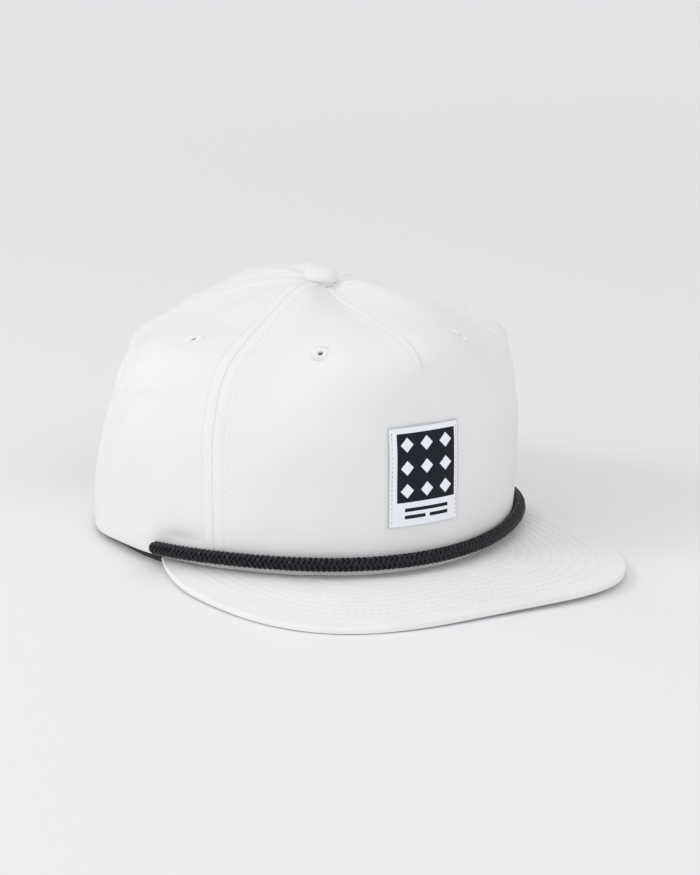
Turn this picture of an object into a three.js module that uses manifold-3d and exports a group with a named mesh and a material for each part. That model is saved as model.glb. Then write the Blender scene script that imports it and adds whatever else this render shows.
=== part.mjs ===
// Five-panel snapback cap with a flat brim, a braided rope and a plastic snap strap, in millimetres.
// The front of the cap faces -Y, +X is the wearer's left and +Z is up. The shapes are worked out
// round the middle of the crown's lower edge, and the whole cap is then set down on z = 0.
import * as THREE from 'three';
import { mergeVertices } from 'three/addons/utils/BufferGeometryUtils.js';
import Module from 'manifold-3d';

const wasm = await Module();
wasm.setup();

// Clearance between neighbouring pieces, and the thickness of one crown panel.
const GAP = 0.3;
const CLOTH = 1.5;

// Plan of the crown's lower edge, a superellipse, and the height of that edge at the back.
const RIM = { halfLength: 101, halfWidth: 90, exponent: 1.95, backHeight: -4.3, backDip: 0.85 };

// The point under the button where the panels meet, and the height of the floor that the cap rests on.
const APEX = { y: -16, z: 107 };
const FLOOR = -4.6;

// Crown sections, a row for each direction seen from above, in degrees from the middle of the front.
// belly and wall say how far the wall stands out at the two wall heights, as a share of the radius.
// reach and rise place the shoulder, and crest and dome are heights at the two top radii.
const WALL_HEIGHTS = { belly: 30, wall: 60 };
const TOP_RADII = { crest: 0.55, dome: 0.22 };
const CROWN_SECTIONS = [
  { angle: 0, belly: 0.004, wall: -0.01, reach: 0.93, rise: 89, crest: 98.5, dome: 102.5 },
  { angle: 20, belly: 0.01, wall: 0.008, reach: 0.91, rise: 87.7, crest: 98.5, dome: 103.8 },
  { angle: 40, belly: 0.011, wall: 0.009, reach: 0.88, rise: 81.6, crest: 101, dome: 108 },
  { angle: 61, belly: 0.028, wall: 0.016, reach: 0.92, rise: 84.4, crest: 98.2, dome: 108.2 },
  { angle: 90, belly: 0.028, wall: 0.012, reach: 0.9, rise: 83, crest: 96, dome: 105.7 },
  { angle: 120, belly: 0.002, wall: -0.11, reach: 0.83, rise: 75, crest: 95, dome: 107 },
  { angle: 150, belly: 0.022, wall: -0.043, reach: 0.88, rise: 77, crest: 96.7, dome: 110 },
  { angle: 180, belly: 0.02, wall: -0.028, reach: 0.8, rise: 74, crest: 100.5, dome: 108.7 },
];

// Seams between the panels: the angle at the rim and how far it drifts on the way up to the button.
const FRONT_SEAM = { rim: 55.3, drift: -4.4 };
const BACK_SEAM = { rim: 119, drift: 2.5 };
const MIDDLE_BACK = { rim: 180, drift: 0 };
const PANEL = { top: 0.965, rows: 17, frontColumns: 16, sideColumns: 9, backColumns: 9 };

// The sewn dart in the front panel, a groove that runs from the button down to the shoulder.
const DART = { depth: 1.2, halfWidth: 5, tip: 84, fadeIn: 8 };

// Opening at the back, an arch over the snap strap.
const ARCH = { halfWidth: 48, height: 56, exponent: 2.3, points: 24, nearY: 40, depth: 100 };

// Flat brim: its corners on the rim, the widest half width, and how far it reaches from the corners.
const BRIM = {
  cornerY: -30, halfWidth: 94.6, reach: 134.5, exponent: 3.18, flare: 0.35,
  bow: 4.3, lift: 1.45, dish: 2.75, thickness: 2.6, cornerThickness: 1.8, thickenBy: 0.3, edge: 0.4,
  columns: 40, rows: [0, 0.2, 0.4, 0.6, 0.8, 0.975, 1],
};
const BRIM_SEAM = 0.35;

// Rope sewn along the foot of the front: its height at the middle and how far it drops at the ends.
const ROPE = { radius: 2.75, height: 6.2, drop: 3.2, endAngle: 73.5, sides: 8, steps: 54, points: 48 };

// Woven label on the front, with its lower edge above the rope.
const LABEL = { width: 33, height: 42, bottom: 20, thickness: 1, columns: 8, rows: 6 };

// Sweatband inside the rim, which hangs down to the floor and stops at the opening in the back.
const SWEATBAND = {
  offset: 2, thickness: 1.2, top: 24, rows: 3, columns: 52, endAngle: 146,
  stepIn: 3.4, stepFrom: 124, stepTo: 133,
};

// Covered button on the crown, with the shank that holds it and a washer on the inside.
const BUTTON = {
  radius: 7.6, height: 4.6, skirt: 1, shank: 2.8, washer: 5.2, washerThickness: 0.9, washerDrop: 5.5,
  tilt: 10, segments: 24, arcPoints: 6,
};

// Stitched eyelets: a short sleeve with a flange that lies in a recess of the cloth.
const EYELET = {
  hole: 1.1, sleeve: 2, sleeveDepth: 1.9, flange: 4, bevel: 0.3, sink: 0.2, edge: 0.42, proud: 0.7,
  crest: 0.4, dip: 0.21, boreDepth: 9, boreRoom: 0.39, recessDepth: 4, segments: 12,
};

// The angle round the crown and the height of the eyelets on each side.
const EYELETS = [
  { name: 'front', angle: 28.3, height: 90.6 },
  { name: 'side', angle: 72, height: 91 },
  { name: 'back', angle: 151, height: 91.5 },
];

// Snap strap: two plastic strips that overlap at the middle of the back, with pegs and holes.
const STRAP = {
  width: 19, bottom: -3.6, thickness: 1.2, clearance: 0.36, layerGap: 0.4, tip: 19, corner: 4,
  rootAngle: 137, beyondRoot: 8, bendFrom: 44, bendTo: 26, pitch: 9, pegs: 7, firstPeg: 13.5,
  holeRadius: 2.45, holeFrom: -4, holeTo: 6, pegRadius: 2, headRadius: 2.4, headHeight: 1,
  columns: 24, rows: 2, sides: 10,
};

// Colours and surface finishes.
const CLOTH_WHITE = new THREE.MeshStandardMaterial({ color: 0xefeff1, roughness: 0.9 });
const THREAD_WHITE = new THREE.MeshStandardMaterial({ color: 0xf3f2ee, roughness: 0.8 });
const ROPE_BLACK = new THREE.MeshStandardMaterial({ color: 0x1c1f22, roughness: 0.85 });
const LABEL_CLOTH = new THREE.MeshStandardMaterial({ color: 0xdde1e6, roughness: 0.7 });
const BAND_GREY = new THREE.MeshStandardMaterial({ color: 0x35343a, roughness: 0.95 });
const PLASTIC_WHITE = new THREE.MeshStandardMaterial({ color: 0xf1f1f0, roughness: 0.35 });

const radians = THREE.MathUtils.degToRad;
const lerp = THREE.MathUtils.lerp;
const smoothstep = THREE.MathUtils.smoothstep;

// A superellipse point for an angle, from the middle of the front.
function superellipse(degrees, halfWidth, halfLength, exponent) {
  const s = Math.sin(radians(degrees));
  const c = Math.cos(radians(degrees));
  const power = 2 / exponent;
  return new THREE.Vector2(
    halfWidth * Math.sign(s) * Math.abs(s) ** power,
    -halfLength * Math.sign(c) * Math.abs(c) ** power,
  );
}

function rimPlan(degrees) {
  return superellipse(degrees, RIM.halfWidth, RIM.halfLength, RIM.exponent);
}

// The angle round the rim at which the brim's corners lie.
function cornerAngle() {
  const share = -BRIM.cornerY / RIM.halfLength;
  return THREE.MathUtils.radToDeg(Math.acos(share ** (RIM.exponent / 2)));
}
const CORNER_ANGLE = cornerAngle();

// A point moved from the rim towards the middle of the head, square to the rim.
function rimInset(degrees, inset) {
  const step = 0.1;
  const point = rimPlan(degrees);
  const along = rimPlan(degrees + step).sub(rimPlan(degrees - step)).normalize();
  return new THREE.Vector2(point.x - along.y * inset, point.y + along.x * inset);
}

// The brim in plan: across runs from -1 at one corner to 1 at the other, and out from 0 to 1.
function brimPlan(across, out) {
  const inner = rimInset(across * CORNER_ANGLE, CLOTH);
  const outer = superellipse(across * 90, BRIM.halfWidth, BRIM.reach, BRIM.exponent);
  const forward = -outer.y / BRIM.reach;
  const cornerX = rimPlan(CORNER_ANGLE).x;
  const flare = 1 - (1 - Math.min(1, forward / BRIM.flare)) ** 2;
  outer.x *= lerp(cornerX / BRIM.halfWidth, 1, flare);
  outer.y += BRIM.cornerY;
  return inner.lerp(outer, out);
}

// Heights of the brim's two faces: bowed across, lifted at the corners and dished at the crown.
function brimHeights(across, out) {
  const plan = brimPlan(across, out);
  const forward = THREE.MathUtils.clamp((BRIM.cornerY - plan.y) / BRIM.reach, 0, 1);
  const bow = -BRIM.bow * (plan.x / BRIM.halfWidth) ** 2;
  const lift = BRIM.lift * (1 - forward) ** 2;
  const dish = BRIM.dish * (1 - out) * Math.cos(radians(across * 90)) ** 2;
  const bottom = bow + lift - dish;
  const full = lerp(BRIM.cornerThickness, BRIM.thickness, Math.min(1, forward / BRIM.thickenBy));
  const trim = out === 1 ? (full * (1 - BRIM.edge)) / 2 : 0;
  return { bottom: bottom + trim, top: bottom + full - trim };
}

// Height of the crown's lower edge: on the brim in front, then falling towards the back.
function rimHeight(degrees) {
  const y = rimPlan(degrees).y;
  const across = Math.min(1, Math.abs(degrees) / CORNER_ANGLE);
  const onBrim = brimHeights(across, 0).top + BRIM_SEAM;
  const back = THREE.MathUtils.clamp((y - BRIM.cornerY) / (RIM.halfLength - BRIM.cornerY), 0, 1);
  return lerp(onBrim, RIM.backHeight, back ** RIM.backDip);
}

// One column of the crown table at any angle, smooth across the rows and mirrored at both ends.
function sectionValue(column, degrees) {
  const turn = Math.abs(degrees);
  const angle = turn > 180 ? 360 - turn : turn;
  const last = CROWN_SECTIONS.length - 1;
  const row = (index) => {
    if (index < 0) {
      return { angle: -CROWN_SECTIONS[-index].angle, value: CROWN_SECTIONS[-index][column] };
    }
    if (index > last) {
      const mirrored = CROWN_SECTIONS[2 * last - index];
      return { angle: 360 - mirrored.angle, value: mirrored[column] };
    }
    return { angle: CROWN_SECTIONS[index].angle, value: CROWN_SECTIONS[index][column] };
  };
  let index = 0;
  while (index < last - 1 && CROWN_SECTIONS[index + 1].angle <= angle) {
    index += 1;
  }
  const [before, start, end, after] = [row(index - 1), row(index), row(index + 1), row(index + 2)];
  const span = end.angle - start.angle;
  const t = (angle - start.angle) / span;
  const slopeIn = ((end.value - before.value) / (end.angle - before.angle)) * span;
  const slopeOut = ((after.value - start.value) / (after.angle - start.angle)) * span;
  return (2 * t ** 3 - 3 * t ** 2 + 1) * start.value + (t ** 3 - 2 * t ** 2 + t) * slopeIn
    + (3 * t ** 2 - 2 * t ** 3) * end.value + (t ** 3 - t ** 2) * slopeOut;
}

// The crown's section at one angle: a curve from the rim over the shoulder to the apex.
const meridians = new Map();
function meridian(degrees) {
  const key = degrees.toFixed(4);
  if (!meridians.has(key)) {
    const plan = rimPlan(degrees);
    const foot = rimHeight(degrees);
    const value = (column) => sectionValue(column, degrees);
    const at = (radius, z) => new THREE.Vector3(plan.x * radius, lerp(APEX.y, plan.y, radius), z);
    meridians.set(key, new THREE.CatmullRomCurve3([
      at(1, foot),
      at(1 + value('belly'), foot + WALL_HEIGHTS.belly),
      at(1 + value('wall'), foot + WALL_HEIGHTS.wall),
      at(value('reach'), value('rise')),
      at(TOP_RADII.crest, value('crest')),
      at(TOP_RADII.dome, value('dome')),
      at(0, APEX.z),
    ], false, 'centripetal'));
  }
  return meridians.get(key);
}

// The outward normal of the crown, from small steps round it and up it.
function crownNormal(degrees, up) {
  const turn = 0.05;
  const step = 0.002;
  const low = Math.max(0, up - step);
  const high = Math.min(0.999, up + step);
  const round = meridian(degrees + turn).getPoint(up).sub(meridian(degrees - turn).getPoint(up));
  const rise = meridian(degrees).getPoint(high).sub(meridian(degrees).getPoint(low));
  return round.cross(rise).normalize();
}

// A point of the crown: up runs from 0 at the rim to 1 at the apex, and inset goes into the cloth.
function crownPoint(degrees, up, inset = 0) {
  const point = meridian(degrees).getPoint(up);
  const above = smoothstep(point.z, DART.tip, DART.tip + DART.fadeIn);
  const groove = DART.depth * above * Math.exp(-((point.x / DART.halfWidth) ** 2));
  const inFront = point.y < APEX.y ? groove : 0;
  return point.addScaledVector(crownNormal(degrees, up), -inset - inFront);
}

// How far up the section a given height lies, on the wall below the crest.
function upAtHeight(degrees, height) {
  let low = 0;
  let high = 4 / 6;
  for (let i = 0; i < 24; i += 1) {
    const middle = (low + high) / 2;
    if (meridian(degrees).getPoint(middle).z < height) {
      low = middle;
    } else {
      high = middle;
    }
  }
  return (low + high) / 2;
}

// A closed wall between two grids of points with the same rows and columns.
function wallGeometry(columns, rows, outer, inner) {
  const positions = [];
  const index = [];
  for (const skin of [outer, inner]) {
    for (let i = 0; i <= columns; i += 1) {
      for (let j = 0; j <= rows; j += 1) {
        positions.push(...skin(i, j).toArray());
      }
    }
  }
  const skinSize = (columns + 1) * (rows + 1);
  const corner = (side, i, j) => side * skinSize + i * (rows + 1) + j;
  const quad = (a, b, c, d) => index.push(a, b, c, a, c, d);
  for (let i = 0; i < columns; i += 1) {
    for (let j = 0; j < rows; j += 1) {
      quad(corner(0, i, j), corner(0, i + 1, j), corner(0, i + 1, j + 1), corner(0, i, j + 1));
      quad(corner(1, i, j), corner(1, i, j + 1), corner(1, i + 1, j + 1), corner(1, i + 1, j));
    }
    quad(corner(0, i, 0), corner(1, i, 0), corner(1, i + 1, 0), corner(0, i + 1, 0));
    quad(corner(0, i, rows), corner(0, i + 1, rows), corner(1, i + 1, rows), corner(1, i, rows));
  }
  for (let j = 0; j < rows; j += 1) {
    quad(corner(0, 0, j), corner(0, 0, j + 1), corner(1, 0, j + 1), corner(1, 0, j));
    quad(corner(0, columns, j), corner(1, columns, j), corner(1, columns, j + 1), corner(0, columns, j + 1));
  }
  return outwardGeometry(positions, index);
}

// An indexed geometry whose faces point out, turned round if its volume comes out negative.
function outwardGeometry(positions, index) {
  const geometry = new THREE.BufferGeometry();
  geometry.setAttribute('position', new THREE.Float32BufferAttribute(positions, 3));
  const corners = [new THREE.Vector3(), new THREE.Vector3(), new THREE.Vector3()];
  let volume = 0;
  for (let i = 0; i < index.length; i += 3) {
    corners.forEach((corner, k) => corner.fromArray(positions, index[i + k] * 3));
    volume += corners[0].dot(corners[1].clone().cross(corners[2]));
  }
  geometry.setIndex(volume < 0 ? index.slice().reverse() : index);
  return geometry;
}

// Conversions between a closed geometry and a solid that can be cut and joined.
function toSolid(geometry) {
  const bare = new THREE.BufferGeometry();
  bare.setAttribute('position', geometry.getAttribute('position').clone());
  bare.setIndex(geometry.getIndex());
  const merged = mergeVertices(bare, 1e-4);
  return new wasm.Manifold(new wasm.Mesh({
    numProp: 3,
    vertProperties: Float32Array.from(merged.getAttribute('position').array),
    triVerts: Uint32Array.from(merged.getIndex().array),
  }));
}

function toGeometry(solid) {
  const mesh = solid.getMesh();
  const geometry = new THREE.BufferGeometry();
  geometry.setAttribute('position', new THREE.BufferAttribute(Float32Array.from(mesh.vertProperties), 3));
  geometry.setIndex(Array.from(mesh.triVerts));
  return geometry;
}

function cut(geometry, cutters) {
  return toGeometry(cutters.reduce((solid, cutter) => solid.subtract(toSolid(cutter)), toSolid(geometry)));
}

function join(geometry, additions) {
  return toGeometry(additions.reduce((solid, piece) => solid.add(toSolid(piece)), toSolid(geometry)));
}

function namedMesh(name, geometry, material) {
  geometry.computeVertexNormals();
  const mesh = new THREE.Mesh(geometry, material);
  mesh.name = name;
  return mesh;
}

// A frame on the crown with its Y axis along the outward normal.
function crownFrame(degrees, up) {
  const upright = new THREE.Vector3(0, 1, 0);
  const turn = new THREE.Quaternion().setFromUnitVectors(upright, crownNormal(degrees, up));
  return new THREE.Matrix4().compose(crownPoint(degrees, up), turn, new THREE.Vector3(1, 1, 1));
}

// Places of the eyelets on both sides, with side -1 on the wearer's right and 1 on the left.
function eyeletPlaces() {
  return EYELETS.flatMap(({ name, angle, height }) => [-1, 1].map((side) => ({
    name: `eyelet_${name}_${side < 0 ? 'right' : 'left'}`,
    angle: angle * side,
    frame: crownFrame(angle * side, upAtHeight(angle, height)),
  })));
}

// The room that an eyelet needs in the cloth: a bore for its sleeve and a recess for its flange.
function eyeletRoom(frame) {
  const hole = (radius, depth) => new THREE.CylinderGeometry(radius, radius, depth, EYELET.segments);
  const bore = hole(EYELET.sleeve + EYELET.boreRoom, EYELET.boreDepth);
  const recess = hole(EYELET.flange + GAP, EYELET.recessDepth);
  recess.translate(0, EYELET.recessDepth / 2 - EYELET.sink - GAP, 0);
  return [bore.applyMatrix4(frame), recess.applyMatrix4(frame)];
}

function eyelet({ name, frame }) {
  const profile = [
    [EYELET.hole, -EYELET.sleeveDepth],
    [EYELET.sleeve, -EYELET.sleeveDepth],
    [EYELET.sleeve, -EYELET.sink],
    [EYELET.flange, -EYELET.sink],
    [EYELET.flange - EYELET.bevel, EYELET.edge],
    [EYELET.sleeve + EYELET.crest, EYELET.proud],
    [EYELET.hole, EYELET.dip],
    [EYELET.hole, -EYELET.sleeveDepth],
  ].map(([radius, height]) => new THREE.Vector2(radius, height));
  const geometry = new THREE.LatheGeometry(profile, EYELET.segments);
  return namedMesh(name, geometry.applyMatrix4(frame), THREAD_WHITE);
}

// The arch over the strap, as a prism that passes through the back of the crown.
function archCutter() {
  const outline = new THREE.Shape();
  const power = 2 / ARCH.exponent;
  for (let i = 0; i <= ARCH.points; i += 1) {
    const turn = (Math.PI * i) / ARCH.points;
    const x = ARCH.halfWidth * Math.sign(Math.cos(turn)) * Math.abs(Math.cos(turn)) ** power;
    const z = ARCH.height * Math.sin(turn) ** power;
    if (i === 0) {
      outline.moveTo(x, -ARCH.height);
    }
    outline.lineTo(x, RIM.backHeight + z);
  }
  outline.lineTo(-ARCH.halfWidth, -ARCH.height);
  const prism = new THREE.ExtrudeGeometry(outline, { depth: ARCH.depth, bevelEnabled: false });
  prism.rotateX(Math.PI / 2);
  return prism.translate(0, ARCH.nearY + ARCH.depth, 0);
}

// A crown panel between two seams, trimmed by half a gap at each and stopped short of the apex.
function panel(name, from, to, columns, cutters) {
  const halfGap = (seam, up) => {
    const angle = seam.rim + seam.drift * up * up;
    const oneDegree = crownPoint(angle + 0.5, up).distanceTo(crownPoint(angle - 0.5, up));
    return GAP / 2 / oneDegree;
  };
  const place = (i, j, inset) => {
    const up = (PANEL.top * j) / PANEL.rows;
    const start = from.rim + from.drift * up * up + halfGap(from, up);
    const end = to.rim + to.drift * up * up - halfGap(to, up);
    return crownPoint(lerp(start, end, i / columns), up, inset);
  };
  const wall = wallGeometry(columns, PANEL.rows, (i, j) => place(i, j, 0), (i, j) => place(i, j, CLOTH));
  return namedMesh(name, cut(wall, cutters), CLOTH_WHITE);
}

function mirrorSeam(seam) {
  return { rim: -seam.rim, drift: -seam.drift };
}

function crownPanels(places) {
  const rooms = (low, high) => places
    .filter(({ angle }) => angle > low && angle < high)
    .flatMap(({ frame }) => eyeletRoom(frame));
  const arch = archCutter();
  const { frontColumns, sideColumns, backColumns } = PANEL;
  const front = FRONT_SEAM.rim;
  const back = BACK_SEAM.rim;
  const rightFront = mirrorSeam(FRONT_SEAM);
  const rightBack = mirrorSeam(BACK_SEAM);
  const rightMiddle = mirrorSeam(MIDDLE_BACK);
  return [
    panel('front_panel', rightFront, FRONT_SEAM, frontColumns, rooms(-front, front)),
    panel('side_panel_right', rightBack, rightFront, sideColumns, rooms(-back, -front)),
    panel('side_panel_left', FRONT_SEAM, BACK_SEAM, sideColumns, rooms(front, back)),
    panel('back_panel_right', rightMiddle, rightBack, backColumns, [arch, ...rooms(-180, -back)]),
    panel('back_panel_left', BACK_SEAM, MIDDLE_BACK, backColumns, [arch, ...rooms(back, 180)]),
  ];
}

function brim() {
  const face = (side) => (i, j) => {
    const across = (2 * i) / BRIM.columns - 1;
    const out = BRIM.rows[j];
    const plan = brimPlan(across, out);
    return new THREE.Vector3(plan.x, plan.y, brimHeights(across, out)[side]);
  };
  const geometry = wallGeometry(BRIM.columns, BRIM.rows.length - 1, face('top'), face('bottom'));
  return namedMesh('brim', geometry, CLOTH_WHITE);
}

function ropePath() {
  const points = [];
  for (let i = 0; i <= ROPE.points; i += 1) {
    const angle = lerp(-ROPE.endAngle, ROPE.endAngle, i / ROPE.points);
    const along = (rimPlan(angle).y + RIM.halfLength) / RIM.halfLength;
    const up = upAtHeight(angle, ROPE.height - ROPE.drop * along * along);
    points.push(crownPoint(angle, up, -ROPE.radius - GAP));
  }
  return new THREE.CatmullRomCurve3(points);
}

function rope() {
  const section = new THREE.Shape();
  section.absarc(0, 0, ROPE.radius, 0, 2 * Math.PI);
  const geometry = new THREE.ExtrudeGeometry(section, {
    steps: ROPE.steps, curveSegments: ROPE.sides / 2, extrudePath: ropePath(), bevelEnabled: false,
  });
  return namedMesh('rope', geometry, ROPE_BLACK);
}

// A point of the front panel that has a given distance from the middle and a given height.
function frontPoint(x, z, inset) {
  const rounds = 12;
  let angle = 0;
  let up = 0;
  for (let i = 0; i < rounds; i += 1) {
    up = upAtHeight(angle, z);
    angle -= THREE.MathUtils.radToDeg((meridian(angle).getPoint(up).x - x) / RIM.halfWidth);
  }
  return crownPoint(angle, up, inset);
}

function label() {
  const place = (i, j, inset) => {
    const x = LABEL.width * (i / LABEL.columns - 0.5);
    return frontPoint(x, LABEL.bottom + (LABEL.height * j) / LABEL.rows, inset);
  };
  const geometry = wallGeometry(LABEL.columns, LABEL.rows,
    (i, j) => place(i, j, -GAP - LABEL.thickness), (i, j) => place(i, j, -GAP));
  return namedMesh('label', geometry, LABEL_CLOTH);
}

function sweatband() {
  const place = (i, j, depth) => {
    const angle = lerp(-SWEATBAND.endAngle, SWEATBAND.endAngle, i / SWEATBAND.columns);
    const stepped = SWEATBAND.stepIn * smoothstep(Math.abs(angle), SWEATBAND.stepFrom, SWEATBAND.stepTo);
    const inset = SWEATBAND.offset + stepped + depth;
    const foot = rimHeight(angle);
    if (j === 0) {
      const plan = rimInset(angle, inset);
      return new THREE.Vector3(plan.x, plan.y, FLOOR);
    }
    const height = lerp(foot, SWEATBAND.top, (j - 1) / (SWEATBAND.rows - 1));
    const point = crownPoint(angle, upAtHeight(angle, height), inset);
    return point.setZ(height);
  };
  const geometry = wallGeometry(SWEATBAND.columns, SWEATBAND.rows,
    (i, j) => place(i, j, 0), (i, j) => place(i, j, SWEATBAND.thickness));
  return namedMesh('sweatband', geometry, BAND_GREY);
}

function button() {
  const profile = [new THREE.Vector2(0, -BUTTON.washerDrop - BUTTON.washerThickness)];
  profile.push(new THREE.Vector2(BUTTON.washer, -BUTTON.washerDrop - BUTTON.washerThickness));
  profile.push(new THREE.Vector2(BUTTON.washer, -BUTTON.washerDrop));
  profile.push(new THREE.Vector2(BUTTON.shank, -BUTTON.washerDrop));
  profile.push(new THREE.Vector2(BUTTON.shank, 0));
  profile.push(new THREE.Vector2(BUTTON.radius - BUTTON.skirt, 0));
  for (let i = 0; i <= BUTTON.arcPoints; i += 1) {
    const turn = (Math.PI / 2) * (i / BUTTON.arcPoints);
    const radius = BUTTON.radius * Math.cos(turn);
    profile.push(new THREE.Vector2(radius, BUTTON.skirt + (BUTTON.height - BUTTON.skirt) * Math.sin(turn)));
  }
  const geometry = new THREE.LatheGeometry(profile, BUTTON.segments).rotateX(Math.PI / 2);
  const mesh = namedMesh('button', geometry, CLOTH_WHITE);
  mesh.rotation.x = radians(BUTTON.tilt);
  mesh.position.set(0, APEX.y, buttonSeat());
  return mesh;
}

// The lowest height at which the tilted button clears the cloth all round its skirt.
function buttonSeat() {
  let seat = APEX.z;
  for (let angle = 0; angle < 360; angle += 10) {
    for (let up = 0.9; up < PANEL.top; up += 0.01) {
      const point = crownPoint(angle - 180, up);
      const radius = Math.hypot(point.x, point.y - APEX.y);
      if (radius < BUTTON.radius) {
        seat = Math.max(seat, point.z - (point.y - APEX.y) * Math.tan(radians(BUTTON.tilt)));
      }
    }
  }
  return seat + GAP;
}

// The line that the snap strap follows behind the head, measured from the middle of the back.
// Distances along it are positive towards the wearer's left.
function strapLine() {
  const points = [];
  const from = STRAP.rootAngle - STRAP.beyondRoot;
  const to = 360 - from;
  for (let angle = from; angle <= to; angle += 1) {
    const plan = rimInset(angle, CLOTH + STRAP.clearance);
    points.push(new THREE.Vector3(plan.x, plan.y, 0));
  }
  const curve = new THREE.CatmullRomCurve3(points);
  const length = curve.getLength();
  const inward = (share) => {
    const along = curve.getTangentAt(share);
    return new THREE.Vector3(-along.y, along.x, 0);
  };
  return {
    at: (distance, depth) => {
      const share = 0.5 - distance / length;
      return curve.getPointAt(share).addScaledVector(inward(share), depth);
    },
    inward: (distance) => inward(0.5 - distance / length),
    root: length * (0.5 - STRAP.beyondRoot / (to - from)),
  };
}

// One strip of the strap, with rounded corners at its free tip. side is 1 for the strip that is
// sewn in on the wearer's left, and depth gives how far it lies inside the line at each distance.
function strip(line, side, depth) {
  const place = (i, j, extra) => {
    const t = i / STRAP.columns;
    const distance = side * lerp(line.root, -STRAP.tip, t);
    const toTip = Math.abs(distance + side * STRAP.tip);
    const round = Math.max(0, STRAP.corner - toTip);
    const trim = STRAP.corner - Math.sqrt(Math.max(0, STRAP.corner ** 2 - round ** 2));
    const height = lerp(STRAP.bottom + trim, STRAP.bottom + STRAP.width - trim, j / STRAP.rows);
    return line.at(distance, depth(distance) + extra).setZ(height);
  };
  return wallGeometry(STRAP.columns, STRAP.rows,
    (i, j) => place(i, j, 0), (i, j) => place(i, j, STRAP.thickness));
}

// A short round bar square to the strap, from one depth inside the line to another.
function strapBar(line, distance, radius, outerDepth, innerDepth) {
  const bar = new THREE.CylinderGeometry(radius, radius, innerDepth - outerDepth, STRAP.sides);
  const turn = new THREE.Quaternion().setFromUnitVectors(new THREE.Vector3(0, 1, 0), line.inward(distance));
  const centre = line.at(distance, (innerDepth + outerDepth) / 2).setZ(STRAP.bottom + STRAP.width / 2);
  return bar.applyMatrix4(new THREE.Matrix4().compose(centre, turn, new THREE.Vector3(1, 1, 1)));
}

function snapStrap() {
  const line = strapLine();
  const innerLayer = STRAP.thickness + STRAP.layerGap;
  const pegDepth = (distance) => innerLayer * smoothstep(distance, -STRAP.bendFrom, -STRAP.bendTo);
  const holes = [];
  const pegs = [];
  for (let i = 0; i < STRAP.pegs; i += 1) {
    const fromTip = STRAP.firstPeg - STRAP.pitch * i;
    holes.push(strapBar(line, -fromTip, STRAP.holeRadius, STRAP.holeFrom, STRAP.holeTo));
    const root = pegDepth(fromTip) + STRAP.thickness / 2;
    const headFoot = pegDepth(fromTip) - innerLayer - GAP;
    pegs.push(strapBar(line, fromTip, STRAP.pegRadius, headFoot - STRAP.headHeight / 2, root));
    pegs.push(strapBar(line, fromTip, STRAP.headRadius, headFoot - STRAP.headHeight, headFoot));
  }
  return [
    namedMesh('strap_holes', cut(strip(line, 1, () => 0), holes), PLASTIC_WHITE),
    namedMesh('strap_pegs', join(strip(line, -1, pegDepth), pegs), PLASTIC_WHITE),
  ];
}

function buildCap() {
  const places = eyeletPlaces();
  const cap = new THREE.Group();
  cap.add(...crownPanels(places), brim(), rope(), label(), sweatband(), button());
  cap.add(...places.map(eyelet), ...snapStrap());
  cap.updateMatrixWorld(true);
  const box = new THREE.Box3().setFromObject(cap, true);
  cap.position.set(0, -(box.min.y + box.max.y) / 2, -box.min.z);
  cap.updateMatrixWorld(true);
  return cap;
}

export default buildCap();
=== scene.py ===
"""Looks of a five-panel snapback cap with a rope and a flat brim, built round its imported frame.

Lengths in the classes are millimetres, measured from the middle of the crown's lower edge, with the
brim towards -Y. CapShape.to_row turns them into metres in the frame's own axes.
"""

import logging
import math
from dataclasses import dataclass, field
from enum import Enum
from functools import cached_property
from typing import Callable, Iterable, Sequence

import bmesh
import bpy
import numpy as np
from mathutils import Matrix, Vector


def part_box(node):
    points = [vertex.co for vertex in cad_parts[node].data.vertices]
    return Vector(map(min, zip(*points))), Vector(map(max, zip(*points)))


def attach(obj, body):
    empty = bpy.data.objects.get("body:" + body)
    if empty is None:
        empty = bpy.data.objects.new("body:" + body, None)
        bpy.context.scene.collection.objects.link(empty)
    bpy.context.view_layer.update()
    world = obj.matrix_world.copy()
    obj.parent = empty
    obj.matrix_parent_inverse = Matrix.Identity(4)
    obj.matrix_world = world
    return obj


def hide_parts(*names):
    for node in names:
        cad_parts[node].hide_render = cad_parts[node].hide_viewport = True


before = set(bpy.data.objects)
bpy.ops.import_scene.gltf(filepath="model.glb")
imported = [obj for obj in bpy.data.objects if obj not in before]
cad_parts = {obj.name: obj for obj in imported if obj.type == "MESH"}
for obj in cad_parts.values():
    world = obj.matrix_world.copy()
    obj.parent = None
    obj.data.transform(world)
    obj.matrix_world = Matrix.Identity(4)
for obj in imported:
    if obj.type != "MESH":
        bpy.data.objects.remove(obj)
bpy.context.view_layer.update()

LOG = logging.getLogger("snapback_cap")
MM = 0.001
Array = np.ndarray
Color = tuple[float, float, float]


def smoothstep(value: Array, low: float, high: float) -> Array:
    """A smooth ramp from 0 at low to 1 at high."""
    share = np.clip((value - low) / (high - low), 0.0, 1.0)
    return share * share * (3.0 - 2.0 * share)


def bell(distance: Array, width: float) -> Array:
    """A bump of height 1 at no distance that fades out within about twice its width."""
    return np.exp(-((distance / width) ** 2))


def unit(vectors: Array) -> Array:
    """The vectors, each scaled to length 1."""
    return vectors / np.linalg.norm(vectors, axis=-1, keepdims=True)


def wrapped(angle: Array) -> Array:
    """Degrees brought to the span from -180 to 180."""
    return (angle + 180) % 360 - 180


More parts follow.
